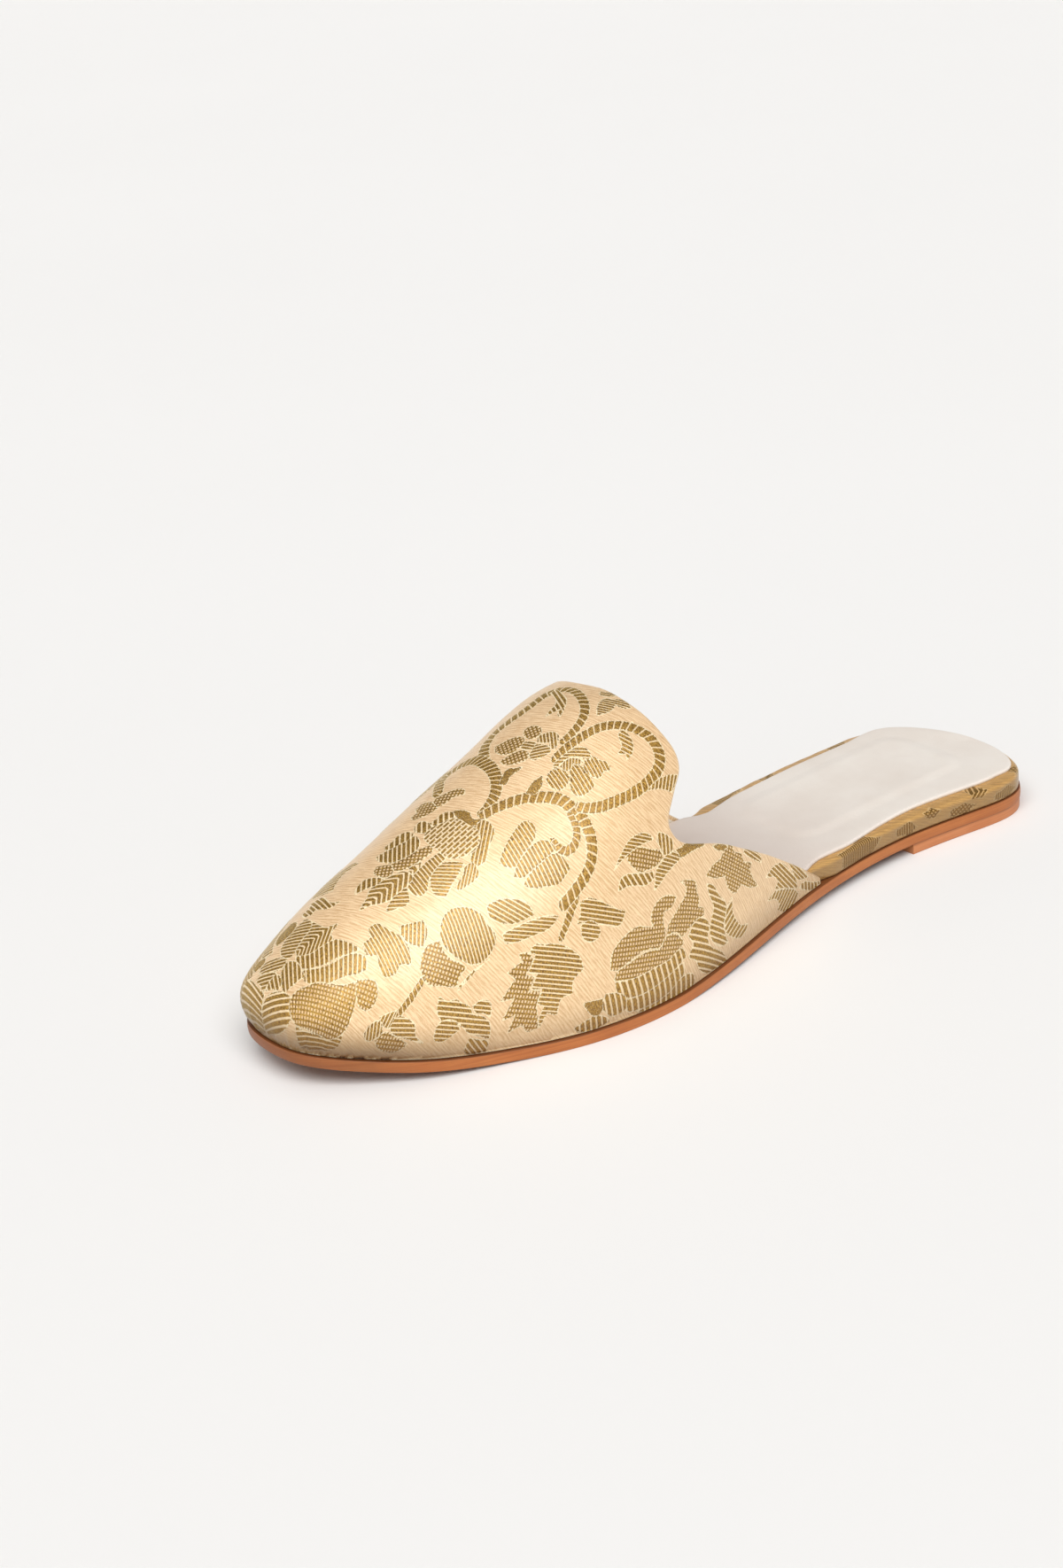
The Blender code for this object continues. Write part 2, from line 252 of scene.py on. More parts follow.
def section_value(column, turn):
    return float(spline(SECTION_TURNS, [getattr(row, column) for row in SECTIONS], turn)[0, 0])


def section_curve(turn):
    """Outside of the upper across the last at one turn, lateral feather edge to medial."""
    angle = np.linspace(0, np.pi, SECTION_STEPS + 1)
    on_lateral = angle < np.pi / 2
    power = 2 / np.where(on_lateral, section_value("lateral_fullness", turn),
                         section_value("medial_fullness", turn))
    climb = section_value("ridge", turn) * INSTEP_HEIGHT * np.abs(np.sin(angle)) ** power
    level = climb / SWELL_HEIGHT
    swell = section_value("swell", turn) * WALL_SWELL * level * np.exp(1 - level)
    sides = []
    for side in ("lateral", "medial"):
        edge, inward = edge_and_inward(side, turn)
        sides.append(edge + np.outer(LEDGE - swell, inward))
    lateral, medial = sides
    foot = lateral + (medial - lateral) * section_value("crest", turn)
    reach = np.abs(np.cos(angle)) ** power
    plan = foot + np.where(on_lateral[:, None], lateral - foot, medial - foot) * reach[:, None]
    return np.column_stack((plan, underside(plan[:, 1]) + SOLE_THICKNESS + GAP + climb))


class UpperForm:
    """The outside of the upper with its flat pattern, in millimetres: along is the distance
    from the toe tip up the ridge, across the distance round the section, lateral negative."""

    ROWS = 300
    COLUMNS = 181

    def __init__(self):
        self.turns = np.linspace(turn_of(SECTIONS[0].station), np.pi - TIP_TURN, self.ROWS)
        curves = [section_curve(turn) for turn in self.turns]
        runs = [chord_knots(curve) for curve in curves]
        self.halves = np.array([run[-1] for run in runs]) / 2 / MM
        ridge = chord_knots(np.array([curve[SECTION_STEPS // 2] for curve in curves]))
        self.alongs = (ridge[-1] - ridge) / MM
        self.grid = np.array([self.even(curve, run) for curve, run in zip(curves, runs)])
        outward = unit(np.cross(np.gradient(self.grid, axis=0), np.gradient(self.grid, axis=1)))
        self.normals = outward * np.sign(outward[self.ROWS // 2, self.COLUMNS // 2, 2])

    def even(self, curve, run):
        """The section's points spread evenly along it."""
        at = np.linspace(0, run[-1], self.COLUMNS)
        return np.column_stack([np.interp(at, run, curve[:, axis]) for axis in range(3)])

    def flat(self, turn, climb, side):
        """Flat place of a point that has climbed this share from a side's feather edge."""
        half = np.interp(turn, self.turns, self.halves)
        return np.array([side * half * (1 - climb), np.interp(turn, self.turns, self.alongs)])

    def read(self, table, flat):
        """Values of a table over the form at flat places, a row each."""
        across, along = flat[:, 0], flat[:, 1]
        row = np.interp(along, self.alongs[::-1], np.arange(self.ROWS)[::-1].astype(float))
        half = np.interp(along, self.alongs[::-1], self.halves[::-1])
        column = np.clip((across / half + 1) / 2, 0, 1) * (self.COLUMNS - 1)
        i = np.minimum(row.astype(int), self.ROWS - 2)
        j = np.minimum(column.astype(int), self.COLUMNS - 2)
        f = (row - i)[:, None]
        g = (column - j)[:, None]
        near = table[i, j] * (1 - g) + table[i, j + 1] * g
        far = table[i + 1, j] * (1 - g) + table[i + 1, j + 1] * g
        return near * (1 - f) + far * f

    def place(self, flat, depth=0.0):
        """Points over the flat places, sunk below the outside by the depth in metres."""
        flat = np.asarray(flat, float)
        return self.read(self.grid, flat) - self.normal(flat) * np.reshape(depth, (-1, 1))

    def normal(self, flat):
        return unit(self.read(self.normals, np.asarray(flat, float)))


def topline_flat(form, count):
    """Topline in the flat pattern, lateral wing end over the tongue to medial wing end."""
    lateral = [form.flat(turn_of(row.station), row.climb, -1) for row in TOPLINE]
    medial = [form.flat(turn_of(row.medial_station), row.climb, 1) for row in TOPLINE[-2::-1]]
    points = np.array(lateral + medial)
    knots = chord_knots(points)
    return spline(knots, points, np.linspace(0, knots[-1], count))


def feather_flat(form, count):
    """Feather edge in the flat pattern, lateral wing end round the toe to medial wing end."""
    def places(turns):
        return np.array([form.flat(min(t, 2 * np.pi - t), 0, -1 if t < np.pi else 1) for t in turns])

    start = turn_of(WING_END)
    turns = np.linspace(start, 2 * np.pi - start, FINE_STEPS * count)
    runs = chord_knots(places(turns))
    return places(np.interp(np.linspace(0, runs[-1], count), runs, turns))


# ---------------------------------------------------------------- brocade pattern
# Shapes lie in the upper's flat pattern, in millimetres: (across, along). Ribs, or the spine of a
# chevron, run at an angle in degrees from the across direction; the pitch is in millimetres. A
# vine's width is given at its start, middle and end.
Shape = namedtuple("Shape", "weave angle pitch points")
Vine = namedtuple("Vine", "weave pitch width points")

TONGUE = (
    Vine("bar", 2.1, (1.5, 2.1, 2.1), (
        (-9.3, 115.2), (-9.2, 119.5), (-8.3, 124), (-6.2, 127.6), (-3.2, 130), (0, 131.6), (3.4, 132.6),
        (6.8, 132.3), (9.2, 130), (10.2, 126.5), (10.3, 122.5), (10.9, 118.5), (12.2, 114.8), (13.3, 111),
        (12.7, 107), (10.7, 103.7), (8, 101.2), (5, 99.2))),
    Vine("bar", 1.7, (1.8, 2.6, 1.9), (
        (-9, 84.5), (-8.6, 88), (-7.6, 91), (-5.6, 94), (-2.6, 96.4), (1, 98), (5, 98.8), (8.6, 99),
        (11.8, 97.6), (14, 94.8), (14.6, 91.6), (13, 88.6), (10.5, 86.4), (8.6, 84.4), (8.4, 82.6))),
    Vine("bar", 2.2, (1.9, 2.3, 2.1), (
        (-9.4, 84.5), (-10.2, 88.5), (-11.4, 92), (-13, 95.6), (-15.2, 98.9), (-18, 102), (-21.3, 104.6),
        (-25, 105.8), (-29, 106.6), (-33, 106.4), (-37, 104.8), (-40, 101.8), (-41.6, 97.6), (-42.6, 93),
        (-43.2, 88.4))),
    Vine("bar", 2.0, (1.5, 2.2, 1.8), (
        (-11.6, 109.8), (-11.2, 114), (-11.6, 118), (-12.2, 122), (-13, 126), (-14.6, 130),
        (-17.2, 133.6), (-20.8, 136.4), (-25, 137.6), (-29, 136.8), (-31.8, 134.2), (-33.2, 130.5),
        (-33.7, 126.5), (-33.3, 122.5), (-32.2, 118.5), (-30.8, 114.5), (-29, 111), (-26.8, 108.3),
        (-24.5, 106.2))),
    Vine("bar", 1.6, (1.2, 1.8, 1.2), (
        (-25, 104.2), (-28.4, 104), (-31.2, 103), (-32.8, 100.6), (-32.6, 98), (-30.8, 96.6),
        (-28.6, 96.2), (-26.4, 95.2))),
    Shape("rib", 25, 1.3, (
        (9.2, 130.8), (5.5, 129.6), (2.3, 128.3), (0.3, 126.2), (-0.8, 124.5), (-2.1, 121.9), (-1, 122.2),
        (0.2, 124.4), (0.9, 122.5), (1.6, 119.8), (2.4, 122.2), (3, 125), (4.4, 126.6), (6.6, 127.8),
        (9.4, 128.6))),
    Shape("rib", -30, 1.2, (
        (-17.6, 132), (-21.5, 131.9), (-24.2, 130.2), (-25.2, 127.4), (-23.6, 128.3), (-22.6, 126),
        (-21.4, 128.6), (-19.6, 129.2), (-18, 130))),
    Shape("solid", 0, 1, (
        (-12.4, 105), (-12, 102.5), (-12.3, 100.4), (-13, 98.4), (-14.8, 100), (-14.7, 102.4),
        (-13.6, 104))),
    Shape("solid", 0, 1, (
        (-6, 103.4), (-4.9, 102), (-3.2, 100.4), (-3.8, 98), (-5.4, 95.4), (-6.5, 96.5), (-5.5, 99.2),
        (-5.9, 101.4))),
    Shape("check", 30, 1.05, (
        (-1.9, 113), (-1.7, 115), (0, 115.9), (2, 115.5), (3.3, 114), (2.9, 112.3), (1.2, 111.4),
        (-0.9, 111.6))),
    Shape("check", 30, 1.05, (
        (0, 108.2), (0.7, 110.4), (2.6, 110.7), (4.7, 109.3), (6.2, 107), (7.2, 104.9), (5.5, 103.6),
        (3.3, 103.3), (1.3, 104.3), (0.1, 106.2))),
    Shape("check", 30, 1.05, (
        (-4.9, 106.3), (-3.9, 107.6), (-2, 107.5), (-0.6, 106), (0.4, 103.8), (0.9, 101.2), (-0.8, 101),
        (-2.8, 102.3), (-4.4, 104.3))),
    Shape("rib", 38, 1.0, (
        (-9.1, 113.2), (-8.2, 115.3), (-6.3, 117), (-4.5, 116.6), (-3.1, 115), (-2.3, 113.3),
        (-3.4, 111.9), (-5, 112.6), (-6.4, 113.8), (-7.6, 112.8))),
    Shape("rib", -50, 1.0, (
        (-8.9, 111.6), (-7.4, 112.5), (-5.8, 112.2), (-4.4, 111.5), (-3.3, 110.4), (-4.2, 108.7),
        (-5.2, 107), (-6.7, 106.8), (-7.9, 109))),
    Shape("rib", -20, 1.0, (
        (-3.1, 111.4), (-1.2, 110.6), (-0.1, 109.5), (-0.8, 107.7), (-2.3, 108.1), (-3.6, 109.4))),
    Shape("rib", 6, 1.15, (
        (-24.9, 112.4), (-24.7, 115), (-22, 115.4), (-19, 115.1), (-17.2, 114.7), (-15.5, 113.6),
        (-17.8, 111.3), (-19.9, 109.4), (-22.4, 108.7), (-24.3, 110.1))),
    Shape("rib", 6, 1.05, (
        (-19.3, 108), (-18.5, 110.5), (-15.6, 110.5), (-13.3, 108.6), (-13.7, 105.9), (-15, 104.7),
        (-17, 104.9), (-18.9, 106.1))),
    Shape("rib", 8, 1.0, (
        (-24.6, 121.6), (-23.7, 119.4), (-24.2, 117.6), (-22.2, 115.8), (-19.2, 115.5), (-18.1, 117.2),
        (-18.7, 119.7), (-20.8, 120.5), (-22.4, 121.8))),
    Shape("rib", -45, 0.95, (
        (-18.7, 118.6), (-16.4, 119.7), (-13.7, 118.3), (-12.9, 115.6), (-12.4, 112.2), (-12.6, 109.4),
        (-13.6, 108.8), (-13.5, 111), (-13.8, 113.6), (-15.1, 115.8), (-16.9, 117))),
    Shape("rib", 45, 0.9, (
        (-17.7, 116.6), (-15.6, 115.3), (-14.2, 113.2), (-14, 110.7), (-15.4, 110.7), (-16.7, 112),
        (-16, 113.8), (-17.5, 115))),
    Shape("rib", -35, 0.95, (
        (-9.6, 129.2), (-10.5, 132.5), (-10.1, 134.6), (-9.3, 136), (-11.5, 137), (-12.5, 139),
        (-10.4, 139.5), (-8.4, 138.6), (-7, 136.7), (-5.7, 135.8), (-6, 133.4), (-7.5, 131.1))),
    Shape("rib", -35, 0.95, (
        (-6.5, 139.2), (-4.4, 139.2), (-3.3, 137.8), (-2, 137.2), (-3.2, 135.8), (-4.9, 136.5),
        (-5.9, 137.8))),
    Shape("rib", 40, 1.1, (
        (-35.4, 139.2), (-38.9, 135.2), (-37.5, 133.5), (-36.1, 131.2), (-35.2, 128.2), (-34.4, 132),
        (-34.5, 136))),
    Shape("rib", 3, 1.1, (
        (-24.7, 91), (-23.5, 93.3), (-21.5, 94.2), (-19.1, 93.1), (-18.9, 90.5), (-19.9, 87),
        (-21.4, 83.5), (-23, 80.8), (-25.1, 81.9), (-26.7, 84), (-25.6, 87))),
    Shape("rib", 3, 1.1, (
        (-30.1, 95.7), (-28, 95.3), (-25.9, 93.5), (-25.5, 90.5), (-25.9, 87.5), (-27, 83.9),
        (-28.5, 82.1), (-30.1, 84), (-30.3, 88), (-30.5, 92))),
    Shape("rib", 3, 1.15, (
        (-36.7, 96.6), (-33, 96.1), (-31, 94.6), (-30.7, 90), (-30.9, 86), (-31.7, 83.4), (-33.9, 84.9),
        (-35.7, 88), (-37.7, 92))),
)

FLOWER = (
    Shape("rib", 50, 1.1, (
        (-10.4, 84.6), (-12.8, 85.4), (-15.4, 84.8), (-17.4, 81.6), (-20, 78), (-19.6, 75.3),
        (-17.5, 75.1), (-15.7, 77.7), (-14.4, 80.4), (-12.6, 81.8), (-10, 81.8))),
    Shape("solid", 0, 1, (
        (-10.2, 84.8), (-8.2, 83), (-6, 83.9), (-3.8, 83.3), (-2.1, 81.8), (-1.6, 80.3), (-3.4, 80.9),
        (-5.6, 80.8), (-8, 80.9), (-10, 81.6))),
    Shape("rib", 40, 1.5, (
        (-3.8, 80.6), (-1.7, 81.2), (0.3, 79.2), (0.1, 77), (0.4, 75.3), (-1.9, 75), (-3.1, 77.5))),
    Shape("rib", 40, 1.5, (
        (-0.8, 72.4), (-1, 74.6), (1, 75.3), (3.9, 74.7), (3.7, 72.7), (2.2, 71.4), (0.8, 71.6))),
    Shape("rib", 50, 0.9, (
        (-22, 74.6), (-20, 75.2), (-18.1, 74.9), (-17.6, 73), (-18.9, 71.4), (-20, 67.8), (-21.1, 67.8),
        (-21.8, 71))),
    Shape("rib", -45, 0.95, (
        (-16.5, 73.3), (-14.6, 71.6), (-12.9, 69.6), (-12.4, 66.5), (-13.7, 63.9), (-16, 62.5),
        (-18, 62.5), (-19.9, 64.2), (-19.1, 66.5), (-17.8, 70))),
    Shape("rib", 4, 1.05, (
        (-11.9, 70.6), (-9.3, 70.3), (-9, 67), (-9.2, 63), (-9.8, 60.5), (-10.8, 58.3), (-13, 57.8),
        (-15.3, 59.1), (-15.4, 60.9), (-13, 64), (-12.2, 67))),
    Shape("check", 50, 1.05, (
        (-7.3, 69.6), (-5.6, 70.4), (-4.4, 68), (-3.4, 65), (-2.3, 62), (-1.5, 60), (-3.5, 59.1),
        (-5.2, 59.9), (-6.6, 63), (-7.3, 66.5))),
    Shape("rib", 40, 1.25, (
        (-3.5, 67.5), (-1.6, 69.7), (0.8, 70.2), (1.6, 67.5), (3.2, 64.5), (5.1, 60.1), (3, 59.2),
        (0.8, 59.6), (-1, 60.4), (-2.4, 62.5), (-3.2, 65))),
    Shape("rib", 40, 1.5, (
        (1.6, 70.5), (4.1, 70.3), (5.8, 68.5), (5.5, 66), (5.8, 63.8), (4.2, 62.9), (2.6, 66),
        (1.5, 68.5))),
    Shape("fleck", 90, 1.2, (
        (-15.2, 79.5), (-12.4, 81.7), (-9, 81), (-6, 80.7), (-3.6, 79.8), (-2.4, 77), (-1.2, 74.5),
        (-2, 71.3), (-4.5, 70.6), (-8, 70.8), (-11.8, 71), (-13.7, 72.5), (-15.2, 75), (-15.8, 77.5))),
    Shape("chevron", 90, 1.9, (
        (-9.8, 60.5), (-8, 61), (-6.3, 60.2), (-4.8, 57.5), (-3.9, 54), (-3.5, 51), (-4.9, 49), (-6, 46),
        (-6.5, 45), (-7.1, 47), (-8.8, 49.5), (-10.2, 52), (-10.5, 56))),
    Shape("chevron", 90, 1.9, (
        (-7.9, 65.4), (-6.8, 62.8), (-7.2, 61.4), (-8.9, 61.4), (-9, 63))),
    Shape("rib", -48, 1.1, (
        (-13.2, 56.7), (-10.8, 57.5), (-10.6, 54), (-11.4, 51), (-12.3, 49.7), (-13.8, 52.5),
        (-14.6, 55))),
    Shape("rib", 40, 1.4, (
        (-3.8, 55.6), (-1.5, 54.4), (0.6, 52.5), (0.4, 49.5), (-1, 47.7), (-2.1, 50.5), (-3.6, 52.8))),
    Shape("check", 50, 1.05, (
        (-4.7, 57.5), (-3.6, 58.8), (-1.5, 59.6), (0, 58.6), (1.6, 57.4), (0.2, 55.4), (-1.5, 55.3),
        (-3.4, 56))),
    Shape("check", 60, 1.05, (
        (0.4, 87.6), (2, 88.7), (3.8, 88.2), (5.9, 85.6), (7.2, 83), (6.6, 81.5), (4.2, 80.6), (3, 82),
        (2.4, 85.5))),
    Shape("check", 60, 1.05, (
        (3.5, 80.4), (3.9, 78), (5.4, 75.6), (7, 74.5), (8.7, 75.4), (8.2, 77), (10.4, 78.3),
        (10.2, 80.8), (7.5, 81.4), (5, 80.8))),
    Shape("rib", -30, 1.3, (
        (7.4, 46.2), (9.6, 49.4), (10.6, 52.6), (9.4, 56.8), (12, 57), (15, 54), (17, 50), (16.4, 46),
        (13.4, 43.4), (10, 44.4))),
    Shape("rib", 15, 1.15, (
        (1, 44), (2.4, 41), (4.2, 40), (6.4, 39.2), (6, 37.5), (8.2, 36.4), (10, 37.4), (9.6, 39.6),
        (11.2, 41), (8.6, 43.4), (5.6, 42.8), (3, 42.6))),
)

TOE = (
    Shape("chevron", 106, 1.55, (
        (-4.5, 38.6), (-2.4, 36), (0, 35.6), (3.2, 35.7), (1.5, 33), (1.1, 30), (0.3, 27), (-1.3, 25.9),
        (-4.5, 28.3), (-5.4, 30.8), (-7.5, 34.8), (-5.4, 35.4))),
    Shape("rib", -28, 1.1, (
        (1.8, 33), (3.4, 35.4), (6.8, 35.8), (7.1, 33), (7.2, 30), (6.8, 27), (5, 24.6), (2.6, 23.7),
        (0.6, 24.6), (0.7, 27), (1.6, 30))),
    Shape("solid", 0, 1, (
        (7.9, 33), (9.5, 34.4), (12, 34.2), (12.6, 30), (11, 27.4), (9, 26.4), (7.9, 28.5))),
    Shape("rib", 38, 1.4, (
        (-15, 38.2), (-12, 37.4), (-9, 36), (-7.5, 34.8), (-5.8, 31), (-4.8, 28.3), (-2.9, 26.5),
        (-1.1, 25.4), (-3.6, 24), (-6, 24.2), (-8.5, 26.5), (-10.6, 29.5), (-11.9, 32.6), (-13.6, 35.5))),
    Shape("rib", 38, 1.4, (
        (-20.2, 37), (-17.5, 38.2), (-15, 36.6), (-13.5, 34.5), (-12.3, 31.5), (-10.9, 28.5),
        (-8.8, 25.9), (-6.4, 23.8), (-9, 22.2), (-11.6, 23.4), (-14.2, 25.5), (-15.7, 28.5),
        (-17.2, 31.5), (-19.2, 34.5))),
    Shape("rib", 40, 1.3, (
        (-8, 22.9), (-6, 23.5), (-2.5, 24.3), (-0.6, 23.6), (0.2, 22.5), (-0.3, 20.5), (-2, 18.4),
        (-4.2, 16.8), (-5.5, 16.1), (-6.6, 19), (-7.3, 21.5))),
    Shape("rib", -35, 1.1, (
        (0.9, 23.6), (3, 23.3), (5.5, 22.3), (7.7, 20.8), (8.2, 19), (7.3, 17.3), (5, 17.8), (3, 19),
        (1.1, 20.2), (0.4, 21.8))),
    Shape("rib", 35, 1.3, (
        (-3.1, 17.2), (-1, 18.8), (0.9, 19), (1.4, 16.4), (0.8, 13.8), (-0.6, 15), (-2.8, 15.6))),
    Shape("rib", -30, 1.2, (
        (1.2, 19.2), (3.4, 18.4), (5.9, 17.2), (6.8, 15.4), (4, 14.4), (1.6, 13.2), (1.5, 16.4))),
    Shape("rib", -35, 1.5, (
        (-10.2, 16.5), (-6.5, 16.2), (-3.5, 15.3), (-0.7, 13.2), (0.6, 9), (0.6, 4.5), (0, 2), (-3, 3.8),
        (-7, 6.8), (-10, 10.2), (-11.2, 13.5))),
    Shape("rib", 22, 1.5, (
        (1, 12.6), (5, 13.7), (9, 15), (12, 15.4), (14.2, 12), (10.2, 6), (5, 3.3), (1, 2), (1, 7))),
    Shape("solid", 0, 1, ((8.6, 20.6), (10, 22.2), (12, 21.2), (12, 18.8), (9.8, 17.8))),
    Shape("check", -35, 1.05, (
        (-12.2, 24.2), (-15.4, 26.8), (-18.6, 29.8), (-20.6, 33.2), (-23.4, 31.2), (-25.6, 28.6),
        (-27.2, 24.5), (-25.7, 20.3), (-21.2, 17.3), (-17, 14.8), (-13, 12.8), (-10.4, 13.3),
        (-8.6, 16.5), (-9.2, 19.5), (-10.7, 21.7))),
    Shape("check", -35, 1.05, (
        (-27.4, 36.4), (-24.6, 37.4), (-22, 35.4), (-20.4, 33.4), (-23.2, 31.6), (-26.2, 31.2),
        (-28.4, 33.4))),
    Shape("rib", -38, 0.95, (
        (-29, 21.5), (-27.6, 24), (-26, 20.2), (-21.4, 17), (-17.4, 14.2), (-13.4, 12.2), (-15.6, 10.4),
        (-19.6, 12), (-24.2, 15.4), (-27.4, 18.4))),
)

